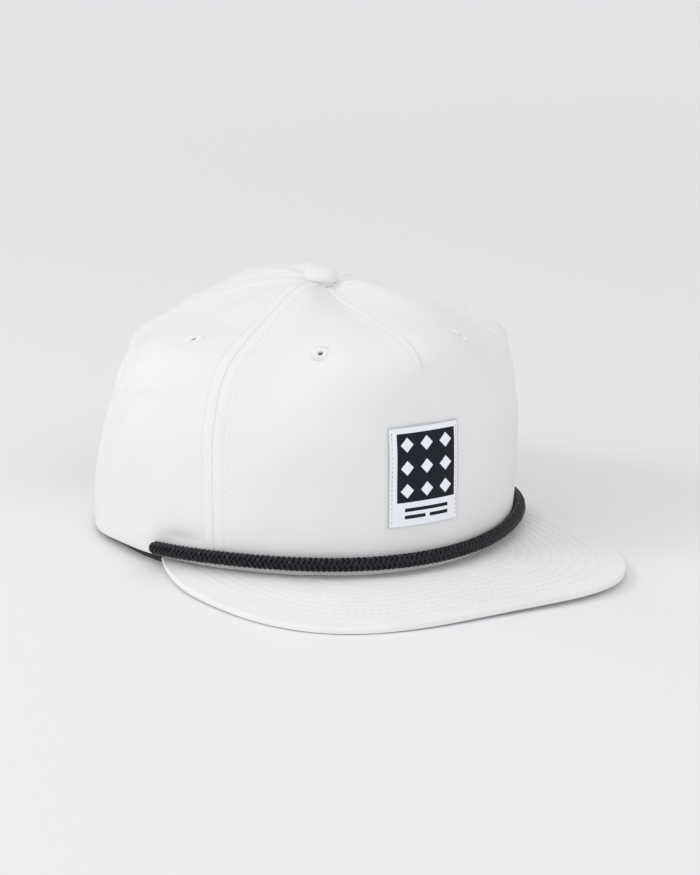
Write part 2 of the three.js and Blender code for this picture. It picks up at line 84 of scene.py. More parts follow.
def hermite(start: Array, end: Array, leave: Array, arrive: Array, share: Array) -> Array:
    """A cubic between two values with the slopes at both, at a share of the way.

    Args:
        start: The first value.
        end: The last value.
        leave: The slope at the first.
        arrive: The slope at the last.
        share: The share of the way.

    Returns:
        The value there.
    """
    square, cube = share**2, share**3
    return ((2 * cube - 3 * square + 1) * start + (cube - 2 * square + share) * leave
            + (3 * square - 2 * cube) * end + (cube - square) * arrive)


def run_along(points: Array) -> Array:
    """The distance of each point of a path from the path's start."""
    return np.concatenate([[0.0], np.cumsum(np.linalg.norm(np.diff(points, axis=0), axis=1))])


def points_at(distance: Array, run: Array, points: Array) -> Array:
    """Points of a path at distances from its start, given the run of its own points."""
    return np.stack([np.interp(distance, run, column) for column in points.T], axis=-1)


def direction(azimuth: float, elevation: float) -> Array:
    """The way towards a place round the cap, with 0 in front of the brim, and a height in degrees."""
    turn, rise = math.radians(azimuth), math.radians(elevation)
    return np.array([math.sin(turn) * math.cos(rise), -math.cos(turn) * math.cos(rise), math.sin(rise)])


@dataclass(frozen=True)
class Section:
    """How the crown rises in one direction, seen from above.

    belly and wall say how far the wall stands out, as a share of the radius. reach and rise place the
    shoulder, and crest and dome are heights over the head.
    """

    angle: float
    belly: float
    wall: float
    reach: float
    rise: float
    crest: float
    dome: float


@dataclass(frozen=True)
class Seam:
    """A seam between two panels, by its angle at the rim and its drift on the way to the button."""

    rim: float
    drift: float

    def angle(self, up: Array) -> Array:
        """The seam's angle at a share of the way up."""
        return self.rim + self.drift * up * up

    def mirrored(self) -> "Seam":
        """The same seam on the other side."""
        return Seam(-self.rim, -self.drift)


class Side(Enum):
    """The wearer's two sides, by the sign of X."""

    RIGHT = -1
    LEFT = 1

    @property
    def word(self) -> str:
        """The side's word in a piece's name."""
        return self.name.lower()


@dataclass(frozen=True)
class BrimShape:
    """Sizes of the flat brim."""

    corner_y: float = -30.0
    half_width: float = 94.6
    reach: float = 134.5
    exponent: float = 3.18
    flare: float = 0.35
    bow: float = 4.3
    lift: float = 1.45
    dish: float = 2.75
    thickness: float = 2.6
    corner_thickness: float = 1.8
    thicken_by: float = 0.3


SECTIONS = (
    Section(0, 0.004, -0.01, 0.93, 89, 98.5, 102.5),
    Section(20, 0.01, 0.008, 0.91, 87.7, 98.5, 103.8),
    Section(40, 0.011, 0.009, 0.88, 81.6, 101, 108),
    Section(61, 0.028, 0.016, 0.92, 84.4, 98.2, 108.2),
    Section(90, 0.028, 0.012, 0.9, 83, 96, 105.7),
    Section(120, 0.002, -0.11, 0.83, 75, 95, 107),
    Section(150, 0.022, -0.043, 0.88, 77, 96.7, 110),
    Section(180, 0.02, -0.028, 0.8, 74, 100.5, 108.7),
)


@dataclass(frozen=True)
class CapShape:
    """The smooth surface of the whole cap, from which every piece takes its place."""

    half_length: float = 101.0
    half_width: float = 90.0
    exponent: float = 1.95
    back_height: float = -4.3
    back_dip: float = 0.85
    apex_y: float = -16.0
    apex_z: float = 107.0
    floor: float = -4.6
    cloth: float = 1.5
    brim_seam: float = 0.35
    belly_height: float = 30.0
    wall_height: float = 60.0
    crest_radius: float = 0.55
    dome_radius: float = 0.22
    brim: BrimShape = field(default_factory=BrimShape)
    front_seam: Seam = Seam(55.3, -4.4)
    back_seam: Seam = Seam(119.0, 2.5)
    middle_back: Seam = Seam(180.0, 0.0)

    @cached_property
    def shift(self) -> Array:
        """Where the middle of the crown's lower edge lies in the frame, from the brim and the floor."""
        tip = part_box("brim")[0].y / MM
        return np.array([0.0, tip - self.brim.corner_y + self.brim.reach, -self.floor])

    def to_row(self, points: Array) -> Array:
        """Points in millimetres round the rim's middle as metres in the frame."""
        return (points + self.shift) * MM

    @property
    def corner_angle(self) -> float:
        """The angle round the rim at which the brim's corners lie."""
        share = -self.brim.corner_y / self.half_length
        return math.degrees(math.acos(share ** (self.exponent / 2)))

    def oval(self, angle: Array, half_width: float, half_length: float, exponent: float) -> Array:
        """A superellipse in plan, by the angle from the middle of the front.

        Args:
            angle: Degrees round the crown, with 0 in front.
            half_width: Its reach to the sides.
            half_length: Its reach to the front.
            exponent: Its squareness, 2 for an ellipse.

        Returns:
            Points of x and y.
        """
        sine, cosine = np.sin(np.radians(angle)), np.cos(np.radians(angle))
        power = 2 / exponent
        x = half_width * np.sign(sine) * np.abs(sine) ** power
        y = -half_length * np.sign(cosine) * np.abs(cosine) ** power
        return np.stack([x, y], axis=-1)

    def rim(self, angle: Array) -> Array:
        """The crown's lower edge in plan."""
        return self.oval(np.asarray(angle, float), self.half_width, self.half_length, self.exponent)

    def rim_inset(self, angle: Array, inset: Array) -> Array:
        """A point moved from the rim towards the middle of the head, square to the rim.

        Args:
            angle: Degrees round the crown, with 0 in front.
            inset: Millimetres towards the middle.

        Returns:
            Points of x and y.
        """
        step = 0.1
        point = self.rim(angle)
        along = unit(self.rim(np.asarray(angle) + step) - self.rim(np.asarray(angle) - step))
        x = point[..., 0] - along[..., 1] * inset
        y = point[..., 1] + along[..., 0] * inset
        return np.stack([x, y], axis=-1)

    def brim_plan(self, across: Array, out: Array) -> Array:
        """The brim in plan: across runs from -1 to 1 between the corners, and out from 0 to 1.

        Args:
            across: The place across the brim, from -1 to 1 between its corners.
            out: The place outwards, from 0 at the crown to 1 at the edge.

        Returns:
            Points of x and y.
        """
        inner = self.rim_inset(across * self.corner_angle, self.cloth)
        outer = self.oval(across * 90, self.brim.half_width, self.brim.reach, self.brim.exponent)
        forward = -outer[..., 1] / self.brim.reach
        narrow = self.rim(self.corner_angle)[0] / self.brim.half_width
        flare = 1 - (1 - np.minimum(1, forward / self.brim.flare)) ** 2
        outer[..., 0] *= narrow + (1 - narrow) * flare
        outer[..., 1] += self.brim.corner_y
        return inner + (outer - inner) * np.asarray(out)[..., None]

    def brim_heights(self, across: Array, out: Array) -> tuple[Array, Array]:
        """The height of the brim's lower face, and the brim's thickness.

        Args:
            across: The place across the brim, from -1 to 1 between its corners.
            out: The place outwards, from 0 at the crown to 1 at the edge.

        Returns:
            The height of the lower face, and the thickness.
        """
        shape = self.brim
        plan = self.brim_plan(across, out)
        forward = np.clip((shape.corner_y - plan[..., 1]) / shape.reach, 0, 1)
        bow = -shape.bow * (plan[..., 0] / shape.half_width) ** 2
        lift = shape.lift * (1 - forward) ** 2
        dish = shape.dish * (1 - out) * np.cos(np.radians(across * 90)) ** 2
        share = np.minimum(1, forward / shape.thicken_by)
        thickness = shape.corner_thickness + (shape.thickness - shape.corner_thickness) * share
        return bow + lift - dish, thickness

    def rim_height(self, angle: Array) -> Array:
        """Height of the crown's lower edge: on the brim in front, then falling to the back.

        Args:
            angle: Degrees round the crown, with 0 in front.

        Returns:
            Heights in millimetres.
        """
        angle = np.asarray(angle, float)
        across = np.minimum(1, np.abs(angle) / self.corner_angle)
        low, thickness = self.brim_heights(across, np.zeros_like(across))
        start = low + thickness + self.brim_seam
        y = self.rim(angle)[..., 1]
        back = np.clip((y - self.brim.corner_y) / (self.half_length - self.brim.corner_y), 0, 1)
        return start + (self.back_height - start) * back ** self.back_dip

    def section(self, column: str, angle: Array) -> Array:
        """One column of the section table at any angle, smooth from row to row.

        Args:
            column: The column's name.
            angle: Degrees round the crown, with 0 in front.

        Returns:
            The column's value at each angle.
        """
        turn = np.abs(wrapped(np.asarray(angle, float)))
        angles = np.array([row.angle for row in SECTIONS], float)
        values = np.array([getattr(row, column) for row in SECTIONS], float)
        places = np.concatenate([[-angles[1]], angles, [360 - angles[-2]]])
        heights = np.concatenate([[values[1]], values, [values[-2]]])
        start = np.clip(np.searchsorted(angles, turn, side="right"), 1, len(SECTIONS) - 1)
        before, here, there, after = (places[start + k] for k in (-1, 0, 1, 2))
        a, b, c, d = (heights[start + k] for k in (-1, 0, 1, 2))
        span = there - here
        leave, arrive = (c - a) / (there - before) * span, (d - b) / (after - here) * span
        return hermite(b, c, leave, arrive, (turn - here) / span)

    def controls(self, angle: Array) -> Array:
        """The seven points of the crown's section at each angle.

        Args:
            angle: Degrees round the crown, with 0 in front.

        Returns:
            Seven points for each angle, from the rim to the apex.
        """
        plan, foot = self.rim(angle), self.rim_height(angle)
        same = np.ones_like(foot)
        radii = [same, 1 + self.section("belly", angle), 1 + self.section("wall", angle),
                 self.section("reach", angle), self.crest_radius * same, self.dome_radius * same, 0 * same]
        heights = [foot, foot + self.belly_height, foot + self.wall_height, self.section("rise", angle),
                   self.section("crest", angle), self.section("dome", angle), self.apex_z * same]
        rows = [np.stack([plan[..., 0] * radius,
                          self.apex_y + (plan[..., 1] - self.apex_y) * radius, height], axis=-1)
                for radius, height in zip(radii, heights)]
        return np.stack(rows, axis=-2)

    def point(self, angle: Array, up: Array) -> Array:
        """A point of the smooth crown, with up from 0 at the rim to 1 at the apex.

        Args:
            angle: Degrees round the crown, with 0 in front.
            up: The share of the way up, from 0 at the rim to 1 at the apex.

        Returns:
            Points in millimetres.
        """
        angle, up = np.broadcast_arrays(np.asarray(angle, float), np.asarray(up, float))
        knots = self.controls(angle)
        spans = knots.shape[-2] - 1
        knots = np.concatenate([2 * knots[..., :1, :] - knots[..., 1:2, :], knots,
                                2 * knots[..., -1:, :] - knots[..., -2:-1, :]], axis=-2)
        place = up * spans
        start = np.clip(np.floor(place), 0, spans - 1).astype(int)
        a, b, c, d = (np.take_along_axis(knots, (start + k)[..., None, None], axis=-2)[..., 0, :]
                      for k in range(4))
        first, span, last = (np.maximum(np.linalg.norm(q - p, axis=-1, keepdims=True), 1e-4) ** 0.5
                             for p, q in ((a, b), (b, c), (c, d)))
        leave = ((b - a) / first - (c - a) / (first + span) + (c - b) / span) * span
        arrive = ((c - b) / span - (d - b) / (span + last) + (d - c) / last) * span
        return hermite(b, c, leave, arrive, (place - start)[..., None])

    def normal(self, angle: Array, up: Array) -> Array:
        """The crown's outward normal.

        Args:
            angle: Degrees round the crown, with 0 in front.
            up: The share of the way up, from 0 at the rim to 1 at the apex.

        Returns:
            Vectors of length 1.
        """
        up = np.asarray(up, float)
        round_it = self.point(angle + 0.05, up) - self.point(angle - 0.05, up)
        rise = (self.point(angle, np.minimum(up + 0.002, 0.999))
                - self.point(angle, np.maximum(up - 0.002, 0)))
        return unit(np.cross(round_it, rise))

    def per_degree(self, angle: Array, up: Array) -> Array:
        """Millimetres along the cloth for one degree round the crown."""
        gap = self.point(angle + 0.5, up) - self.point(angle - 0.5, up)
        return np.linalg.norm(gap, axis=-1)

    def up_at_height(self, angle: Array, height: Array) -> Array:
        """How far up the section a height lies, on the wall below the crest.

        Args:
            angle: Degrees round the crown, with 0 in front.
            height: Millimetres over the middle of the rim.

        Returns:
            The share of the way up.
        """
        low = np.zeros(np.broadcast(angle, height).shape)
        high = np.full_like(low, 4 / 6)
        for _ in range(22):
            middle = (low + high) / 2
            under = self.point(angle, middle)[..., 2] < height
            low, high = np.where(under, middle, low), np.where(under, high, middle)
        return (low + high) / 2

    def front_place(self, x: Array, z: Array) -> tuple[Array, Array]:
        """The angle and the share of the way up of a point of the front.

        Args:
            x: Millimetres from the middle, positive to the wearer's left.
            z: The height in millimetres.

        Returns:
            The angle and the share of the way up.
        """
        angle = np.zeros(np.broadcast(x, z).shape)
        for _ in range(10):
            up = self.up_at_height(angle, z)
            angle = angle - np.degrees((self.point(angle, up)[..., 0] - x) / self.half_width)
        return angle, self.up_at_height(angle, z)


@dataclass(frozen=True)
class Fold:
    """A soft fold or dent: its middle, its run from level, its half length and half width, its depth."""

    angle: float
    height: float
    turn: float
    length: float
    width: float
    depth: float


FOLDS = (
    Fold(-55, 91.0, 2, 14, 1.3, -0.5),
    Fold(-55, 94.2, 2, 12, 2.2, 0.3),
    Fold(-65, 10.8, 4, 8, 2.2, -1.5),
    Fold(-59, 7.5, 0, 3.5, 1.5, 0.7),
    Fold(-61, 15.0, -6, 5, 1.2, -0.35),
    Fold(-76, 9.0, 20, 5, 2.6, 0.4),
    Fold(-95, 64.0, 76, 16, 5.0, -1.2),
    Fold(-72, 95.5, 0, 9, 3.0, -1.0),
    Fold(-72, 86.0, 0, 9, 3.0, 0.9),
    Fold(-118, 28.0, 0, 34, 11.0, -1.2),
    Fold(-112, 1.0, 0, 34, 4.5, 0.9),
    Fold(-107, -3.0, 0, 22, 2.6, 2.2),
    Fold(-147, 85.0, 0, 22, 6.0, -2.2),
    Fold(-56, 44.0, 0, 4, 1.0, -0.35),
    Fold(-57, 22.0, 0, 5, 0.9, -0.25),
    Fold(22, 66.0, 74, 24, 10, -0.5),
    Fold(64, 105.0, 0, 46, 4.5, -3.0),
    Fold(86, 98.5, 0, 18, 3.0, -2.2),
    Fold(60, 83.0, 0, 13, 5.0, 2.2),
    Fold(56, 60.0, 0, 12, 4.0, -0.9),
    Fold(64, 40.0, 82, 26, 9.0, -0.8),
    Fold(86, 60.0, 70, 22, 10, 0.7),
    Fold(112, 30.0, 84, 24, 9.0, -0.9),
    Fold(146, 66.0, 24, 18, 7.0, -0.8),
    Fold(-146, 70.0, -20, 20, 8.0, -0.7),
    Fold(168, 78.0, -40, 14, 6.0, 0.5),
)


@dataclass(frozen=True)
class Crease:
    """A crisp ridge along a line of places, each an angle and a height, that fades at both ends."""

    line: tuple[tuple[float, float], ...]
    width: float
    depth: float


CREASES = (
    Crease(((-66, 75.5), (-76, 71.9), (-81, 68.8), (-83.7, 63.8), (-85.7, 55.5), (-89, 43.5)), 1.1, 1.2),
    Crease(((-122, 82), (-106, 83.9), (-91, 84.4), (-84.5, 78.6), (-84.3, 70), (-88.3, 59.6), (-92.7, 50.4)),
           1.0, 1.15),
    Crease(((-101, 84), (-96, 76), (-92, 70), (-95, 60)), 1.6, -0.8),
    Crease(((-74, 66), (-80, 62), (-85, 52), (-90, 42)), 1.8, -0.5),
    Crease(((66, 78), (76, 73), (82, 66), (85, 55)), 1.4, 0.5),
    Crease(((128, 70), (136, 60), (140, 48), (146, 40)), 1.6, 0.5),
)


@dataclass(frozen=True)
class Ripple:
    """A ridge or valley beside the dart: how far to the side it lies, its half width and its height."""

    aside: float
    width: float
    height: float

    def across(self, x: Array) -> Array:
        """Its height at a distance from the middle."""
        return self.height * bell(x - self.aside, self.width)


DART_FOLD = (Ripple(-0.2, 0.8, 0.42), Ripple(-1.6, 0.7, -0.4), Ripple(1.4, 0.9, -0.45))
DART_HOLLOW = (Ripple(2.6, 3.4, -0.5), Ripple(-6.5, 4.5, -0.35))


@dataclass(frozen=True)
class ClothRelief:
    """How the sewn cloth departs from the smooth crown: seams, hem, dart, folds and slack."""

    shape: CapShape
    tape: float = 6.4
    tape_lift: float = 0.24
    groove: float = 0.17
    groove_width: float = 0.5
    rows: tuple[float, float] = (4.7, 5.3)
    row_pinch: float = 0.24
    row_width: float = 0.5
    dart_tip: float = 82.0
    dart_depth: float = 1.3
    dart_fade: float = 0.75
    fold_fade: float = 0.45
    hem_height: float = 5.0
    hem_turn: float = 0.5
    hem_puff: float = 0.3
    hem_puff_height: float = 8.0
    hem_puff_reach: float = 6.0
    slack: float = 0.22

    @property
    def seams(self) -> tuple[Seam, ...]:
        """All seams round the crown."""
        front, back = self.shape.front_seam, self.shape.back_seam
        return front, front.mirrored(), back, back.mirrored(), self.shape.middle_back

    def seam_distance(self, angle: Array, up: Array) -> Array:
        """Millimetres along the cloth to the nearest seam.

        Args:
            angle: Degrees round the crown, with 0 in front.
            up: The share of the way up, from 0 at the rim to 1 at the apex.

        Returns:
            Distances in millimetres.
        """
        scale = self.shape.per_degree(angle, up)
        gaps = [np.abs(wrapped(angle - seam.angle(up))) * scale for seam in self.seams]
        return np.min(gaps, axis=0)

    def dart(self, point: Array) -> Array:
        """The sewn dart from the button to the shoulder: a ridge beside a sharp valley.

        Args:
            point: Points of the smooth crown.

        Returns:
            How far each stands out.
        """
        x, y, z = point[..., 0], point[..., 1], point[..., 2]
        front = (y < self.shape.apex_y) * (1 - self.dart_fade * smoothstep(z, 101, 106))
        soft = smoothstep(z, self.dart_tip, self.dart_tip + 9) * front
        crisp = smoothstep(z, self.dart_tip + 1.5, self.dart_tip + 4.5) * front
        crisp *= 1 - self.fold_fade * smoothstep(z, 92, 100)
        fold = sum(ripple.across(x) for ripple in DART_FOLD)
        hollow = sum(ripple.across(x) for ripple in DART_HOLLOW)
        return self.dart_depth * (fold * crisp + hollow * soft)

    def folds(self, angle: Array, point: Array) -> Array:
        """The soft folds of the table, in millimetres along and across each fold.

        Args:
            angle: Degrees round the crown, with 0 in front.
            point: Points of the smooth crown there.

        Returns:
            How far each stands out.
        """
        total = np.zeros_like(angle, float)
        for fold in FOLDS:
            round_it = np.radians(wrapped(angle - fold.angle)) * self.shape.half_width
            rise = point[..., 2] - fold.height
            turn = math.radians(fold.turn)
            along = round_it * math.cos(turn) + rise * math.sin(turn)
            across = rise * math.cos(turn) - round_it * math.sin(turn)
            total += fold.depth * bell(along, fold.length) * bell(across, fold.width)
        return total

    def creases(self, point: Array) -> Array:
        """The crisp ridges of the table, by the distance to each one's line.

        Args:
            point: Points of the smooth crown.

        Returns:
            How far each stands out.
        """
        total = np.zeros(point.shape[:-1])
        for crease in CREASES:
            angle, height = np.array(crease.line, float).T
            knots = self.shape.point(angle, self.shape.up_at_height(angle, height))
            near, place = np.full(total.shape, 1e3), np.zeros(total.shape)
            for k, (start, end) in enumerate(zip(knots[:-1], knots[1:])):
                run = end - start
                share = np.clip((point - start) @ run / (run @ run), 0, 1)
                gap = np.linalg.norm(point - start - share[..., None] * run, axis=-1)
                place = np.where(gap < near, (k + share) / (len(knots) - 1), place)
                near = np.minimum(gap, near)
            fade = smoothstep(place, 0, 0.25) * (1 - smoothstep(place, 0.7, 1))
            total += crease.depth * bell(near, crease.width) * fade
        return total

    def height(self, angle: Array, up: Array) -> Array:
        """How far the cloth stands out from the smooth crown, in millimetres.

        Args:
            angle: Degrees round the crown, with 0 in front.
            up: The share of the way up, from 0 at the rim to 1 at the apex.

        Returns:
            How far each place stands out.
        """
        angle = np.asarray(angle, float)
        point = self.shape.point(angle, up)
        gap = self.seam_distance(angle, up)
        seam = self.tape_lift * (1 - smoothstep(gap, self.tape - 0.4, self.tape + 0.5))
        seam -= self.groove * bell(gap, self.groove_width)
        seam -= self.row_pinch * sum(bell(gap - row, self.row_width) for row in self.rows)
        rise = point[..., 2] - self.shape.rim_height(angle)
        free = smoothstep(np.abs(angle), self.shape.corner_angle - 4, self.shape.corner_angle + 12)
        hem = -self.hem_turn * free * np.clip(1 - rise / self.hem_height, 0, 1) ** 2
        hem += self.hem_puff * free * bell(rise - self.hem_puff_height, self.hem_puff_reach)
        wave = np.sin(np.radians(angle) * 9 + point[..., 2] / 13) * np.sin(point[..., 2] / 17 + angle / 21)
        wave += 0.6 * np.sin(np.radians(angle) * 17 - point[..., 2] / 8.5)
        folds = self.folds(angle, point) + self.creases(point)
        return seam + hem + folds + self.dart(point) + self.slack * wave

    def surface(self, angle: Array, up: Array, lift: Array = 0.0) -> Array:
        """A point of the sewn cloth, raised along the normal by lift."""
        offset = self.height(angle, up) + lift
        return self.shape.point(angle, up) + self.shape.normal(angle, up) * offset[..., None]


class NodeWriter:
    """Writes a tree of shader nodes, step by step."""

    def __init__(self, tree: bpy.types.NodeTree) -> None:
        """Writes into an existing tree."""
        self.tree = tree

    def feed(self, target: bpy.types.NodeSocket, value: object) -> None:
        """Links a socket to a socket, or sets a plain value on it.

        Args:
            target: The socket to fill.
            value: A socket or a plain value.
        """
        if isinstance(value, bpy.types.NodeSocket):
            self.tree.links.new(value, target)
        else:
            target.default_value = value

    def node(self, kind: str, feeds: dict[int | str, object], **settings: object) -> bpy.types.Node:
        """Adds a node.

        Args:
            kind: The node's Blender type.
            feeds: A socket or a plain value for each input that is set.
            **settings: The node's properties.

        Returns:
            The new node.
        """
        made = self.tree.nodes.new(kind)
        for key, value in settings.items():
            setattr(made, key, value)
        for key, value in feeds.items():
            self.feed(made.inputs[key], value)
        return made

    def math(self, operation: str, first: object, second: object = 0.0, third: object = 0.0) -> object:
        """The result of one Math node."""
        return self.node("ShaderNodeMath", {0: first, 1: second, 2: third}, operation=operation).outputs[0]

    def times(self, first: object, second: object) -> object:
        """The product of two values."""
        return self.math("MULTIPLY", first, second)

    def scaled(self, value: object, factor: object, extra: object) -> object:
        """A value times a factor, with an extra on top."""
        return self.math("MULTIPLY_ADD", value, factor, extra)

    def between(self, value: object, low: float, high: float) -> object:
        """1 where a value lies between two limits, and 0 elsewhere."""
        return self.math("COMPARE", value, (low + high) / 2, (high - low) / 2)

    def ramp(self, value: object, low: float, high: float, to_low: float = 0.0,
             to_high: float = 1.0) -> object:
        """A smooth ramp of a value between two limits."""
        feeds = {"Value": value, "From Min": low, "From Max": high, "To Min": to_low, "To Max": to_high}
        return self.node("ShaderNodeMapRange", feeds, interpolation_type="SMOOTHSTEP").outputs["Result"]

    def blend(self, share: object, first: object, second: object) -> object:
        """A mix of two colours."""
        feeds = {"Factor": share, 6: first, 7: second}
        return self.node("ShaderNodeMix", feeds, data_type="RGBA").outputs[2]

    def coordinates(self, name: str) -> object:
        """One of Blender's texture coordinates."""
        return self.node("ShaderNodeTexCoord", {}).outputs[name]

    def cloth_map(self) -> object:
        """The piece's own UV map."""
        return self.node("ShaderNodeUVMap", {}, uv_map="cloth").outputs["UV"]

    def split(self, place: object) -> list[object]:
        """The three separate coordinates of a place."""
        return self.node("ShaderNodeSeparateXYZ", {0: place}).outputs[:]

    def noise(self, scale: float, detail: float = 3.0,
              stretch: tuple[float, float, float] = (1, 1, 1)) -> object:
        """Noise on the object's own coordinates.

        Args:
            scale: Cells for each metre.
            detail: Octaves of finer noise.
            stretch: A factor for each axis.

        Returns:
            The node's output.
        """
        mapped = self.node("ShaderNodeMapping", {"Vector": self.coordinates("Object"), "Scale": stretch})
        feeds = {"Vector": mapped.outputs[0], "Scale": scale, "Detail": detail}
        return self.node("ShaderNodeTexNoise", feeds).outputs["Fac"]

    def attribute(self, name: str) -> object:
        """The value of one of the piece's own attributes."""
        return self.node("ShaderNodeAttribute", {}, attribute_name=name).outputs["Fac"]

    def bump(self, height: object, depth: float, strength: float = 1.0, under: object = None) -> object:
        """A bump of a height from 0 to 1, on top of another.

        Args:
            height: The height.
            depth: Its depth in millimetres.
            strength: The bump's strength.
            under: The normal that it lies on.

        Returns:
            The bumped normal.
        """
        feeds = {"Strength": strength, "Distance": depth * MM, "Height": height}
        if under is not None:
            feeds["Normal"] = under
        return self.node("ShaderNodeBump", feeds).outputs["Normal"]


class Recipe(NodeWriter):
    """Writes one material."""

    def __init__(self, name: str) -> None:
        """Starts an empty material with its shader.

        Args:
            name: The material's name.
        """
        self.material = bpy.data.materials.new(name)
        self.material.use_nodes = True
        super().__init__(self.material.node_tree)

    def finish(self, color: object, normal: object, roughness: object,
               **sockets: object) -> bpy.types.Material:
        """Sets the shader.

        Args:
            color: The base colour, or a socket.
            normal: The socket of the bumped normal.
            roughness: A number or a socket.
            **sockets: Further shader sockets, with underscores for spaces.

        Returns:
            The finished material.
        """
        feeds = {"Base_Color": color, "Normal": normal, "Roughness": roughness, **sockets}
        for key, value in feeds.items():
            self.feed(self.tree.nodes["Principled BSDF"].inputs[key.replace("_", " ")], value)
        return self.material


@dataclass(frozen=True)
class WovenCloth:
    """Plain-woven cotton on the piece's own map, whose unit is a centimetre of cloth."""

    name: str
    color: Color
    tint: Color
    pitch: float = 0.5
    weave_depth: float = 0.05
    crinkle: float = 0.25
    roughness: float = 0.86
    sheen: float = 0.15
    taped: bool = False

    def build(self) -> bpy.types.Material:
        """Builds the material: two crossing sets of yarns, fine crinkles and slight soiling.

        Returns:
            The material.
        """
        recipe = Recipe(self.name)
        u, v, _ = recipe.split(recipe.cloth_map())
        turns = 20 * math.pi / self.pitch
        warp = recipe.math("SINE", recipe.times(u, turns))
        weft = recipe.math("SINE", recipe.times(v, turns))
        slub = recipe.noise(900, 2.0, (1, 1, 0.25))
        weave = recipe.scaled(recipe.times(warp, weft), 0.35,
                            recipe.scaled(slub, 0.3, 0.35))
        crinkle = recipe.noise(130, 4.0)
        normal = recipe.bump(crinkle, self.crinkle, 0.5)
        normal = recipe.bump(weave, self.weave_depth, 0.8, normal)
        blot = recipe.ramp(recipe.noise(28, 3.0), 0.35, 0.7)
        color = recipe.blend(recipe.times(blot, 0.5), (*self.color, 1), (*self.tint, 1))
        if self.taped:
            near = recipe.ramp(recipe.attribute("seam"), 5.9, 7.0, 1.0, 0.0)
            color = recipe.blend(recipe.times(near, 0.8), color, (0.852, 0.846, 0.834, 1))
            # A thin darker line right at the seam, in the groove between the panels: painted shade.
            line = recipe.ramp(recipe.attribute("seam"), 0.1, 0.7, 1.0, 0.0)
            color = recipe.blend(recipe.times(line, 0.25), color, (0.6, 0.59, 0.57, 1))
        rough = recipe.scaled(crinkle, 0.12, self.roughness - 0.06)
        return recipe.finish(color, normal, rough, Sheen_Weight=self.sheen, Sheen_Roughness=0.5,
                             Specular_IOR_Level=0.25)


@dataclass(frozen=True)
class Thread:
    """Spun thread, with a fine ply along it."""

    name: str
    color: Color
    shade: Color
    roughness: float = 0.62
    specular: float = 0.35
    grain: float = 2600.0
    depth: float = 0.08

    def build(self) -> bpy.types.Material:
        """Builds the material: grain of the ply and a slight change of colour.

        Returns:
            The material.
        """
        recipe = Recipe(self.name)
        grain = recipe.noise(self.grain, 2.0)
        color = recipe.blend(recipe.ramp(grain, 0.3, 0.75), (*self.shade, 1), (*self.color, 1))
        rough = recipe.scaled(grain, 0.2, self.roughness - 0.1)
        return recipe.finish(color, recipe.bump(grain, self.depth, 0.7), rough,
                             Specular_IOR_Level=self.specular)


@dataclass(frozen=True)
class WovenLabel:
    """A damask label: a white ground, a black field with a lattice of diamonds, and bars under it."""

    name: str = "label_weave"
    white: Color = (0.925, 0.95, 0.985)
    black: Color = (0.008, 0.010, 0.016)
    field: tuple[float, float, float, float] = (0.105, 0.935, 0.245, 0.935)
    columns: int = 3
    rows: int = 3
    diamond: float = 0.32
    # face is the box of the label's face; outside it, along the label's edges, the colour is darkened by
    # edge: painted shade.
    face: tuple[float, float, float, float] = (0.008, 0.986, 0.004, 0.989)
    edge: float = 0.4
    bars: tuple[tuple[float, float, float, float], ...] = (
        (0.21, 0.83, 0.150, 0.186), (0.21, 0.50, 0.078, 0.114), (0.56, 0.83, 0.078, 0.114))

    def box(self, recipe: Recipe, u: object, v: object, sides: Sequence[float]) -> object:
        """A mask that is 1 inside a box given as left, right, bottom and top."""
        return recipe.times(recipe.between(u, *sides[:2]), recipe.between(v, *sides[2:]))

    def lattice(self, recipe: Recipe, u: object, v: object) -> object:
        """A mask of diamonds in rows and columns inside the field.

        Args:
            recipe: The material that is being written.
            u: The map's first coordinate.
            v: The map's second coordinate.

        Returns:
            The mask.
        """
        left, right, low, high = self.field
        spans = ((u, left, right, self.columns), (v, low, high, self.rows))
        offsets = []
        for value, start, end, count in spans:
            scale = count / (end - start)
            cell = recipe.math("FRACT", recipe.scaled(value, scale, -start * scale))
            offsets.append(recipe.math("ABSOLUTE", recipe.math("SUBTRACT", cell, 0.5)))
        return recipe.math("LESS_THAN", recipe.math("ADD", offsets[0], offsets[1]), self.diamond)

    def build(self) -> bpy.types.Material:
        """Builds the material on the label's own map, which runs from 0 to 1 each way.

        Returns:
            The material.
        """
        recipe = Recipe(self.name)
        u, v, _ = recipe.split(recipe.cloth_map())
        ground = self.box(recipe, u, v, self.field)
        dark = recipe.times(ground, recipe.math("SUBTRACT", 1.0, self.lattice(recipe, u, v)))
        for bar in self.bars:
            dark = recipe.math("MAXIMUM", dark, self.box(recipe, u, v, bar))
        # The label's edges are darkened towards black: painted shade along its edges.
        cut = recipe.math("SUBTRACT", 1.0, self.box(recipe, u, v, self.face))
        dark = recipe.math("MAXIMUM", dark, recipe.times(cut, self.edge))
        picks = recipe.math("SINE", recipe.times(v, 2 * math.pi * 105))
        ends = recipe.math("SINE", recipe.times(u, 2 * math.pi * 70))
        weave = recipe.scaled(recipe.scaled(ends, 0.4, picks), 0.25, 0.5)
        grain = recipe.noise(1500, 2.0)
        height = recipe.scaled(grain, 0.5, weave)
        # Where the weave stands high the threads are lighter: a painted glint on the black field, and
        # painted shade in the hollows of the white ground.
        glint = recipe.times(recipe.ramp(height, 0.55, 1.2), 0.5)
        black = recipe.blend(glint, (*self.black, 1), (0.018, 0.022, 0.034, 1))
        white = recipe.blend(recipe.ramp(height, 0.2, 1.0), (0.85, 0.885, 0.945, 1), (*self.white, 1))
        return recipe.finish(recipe.blend(dark, white, black), recipe.bump(height, 0.07, 0.6), 0.7,
                             Specular_IOR_Level=0.22)


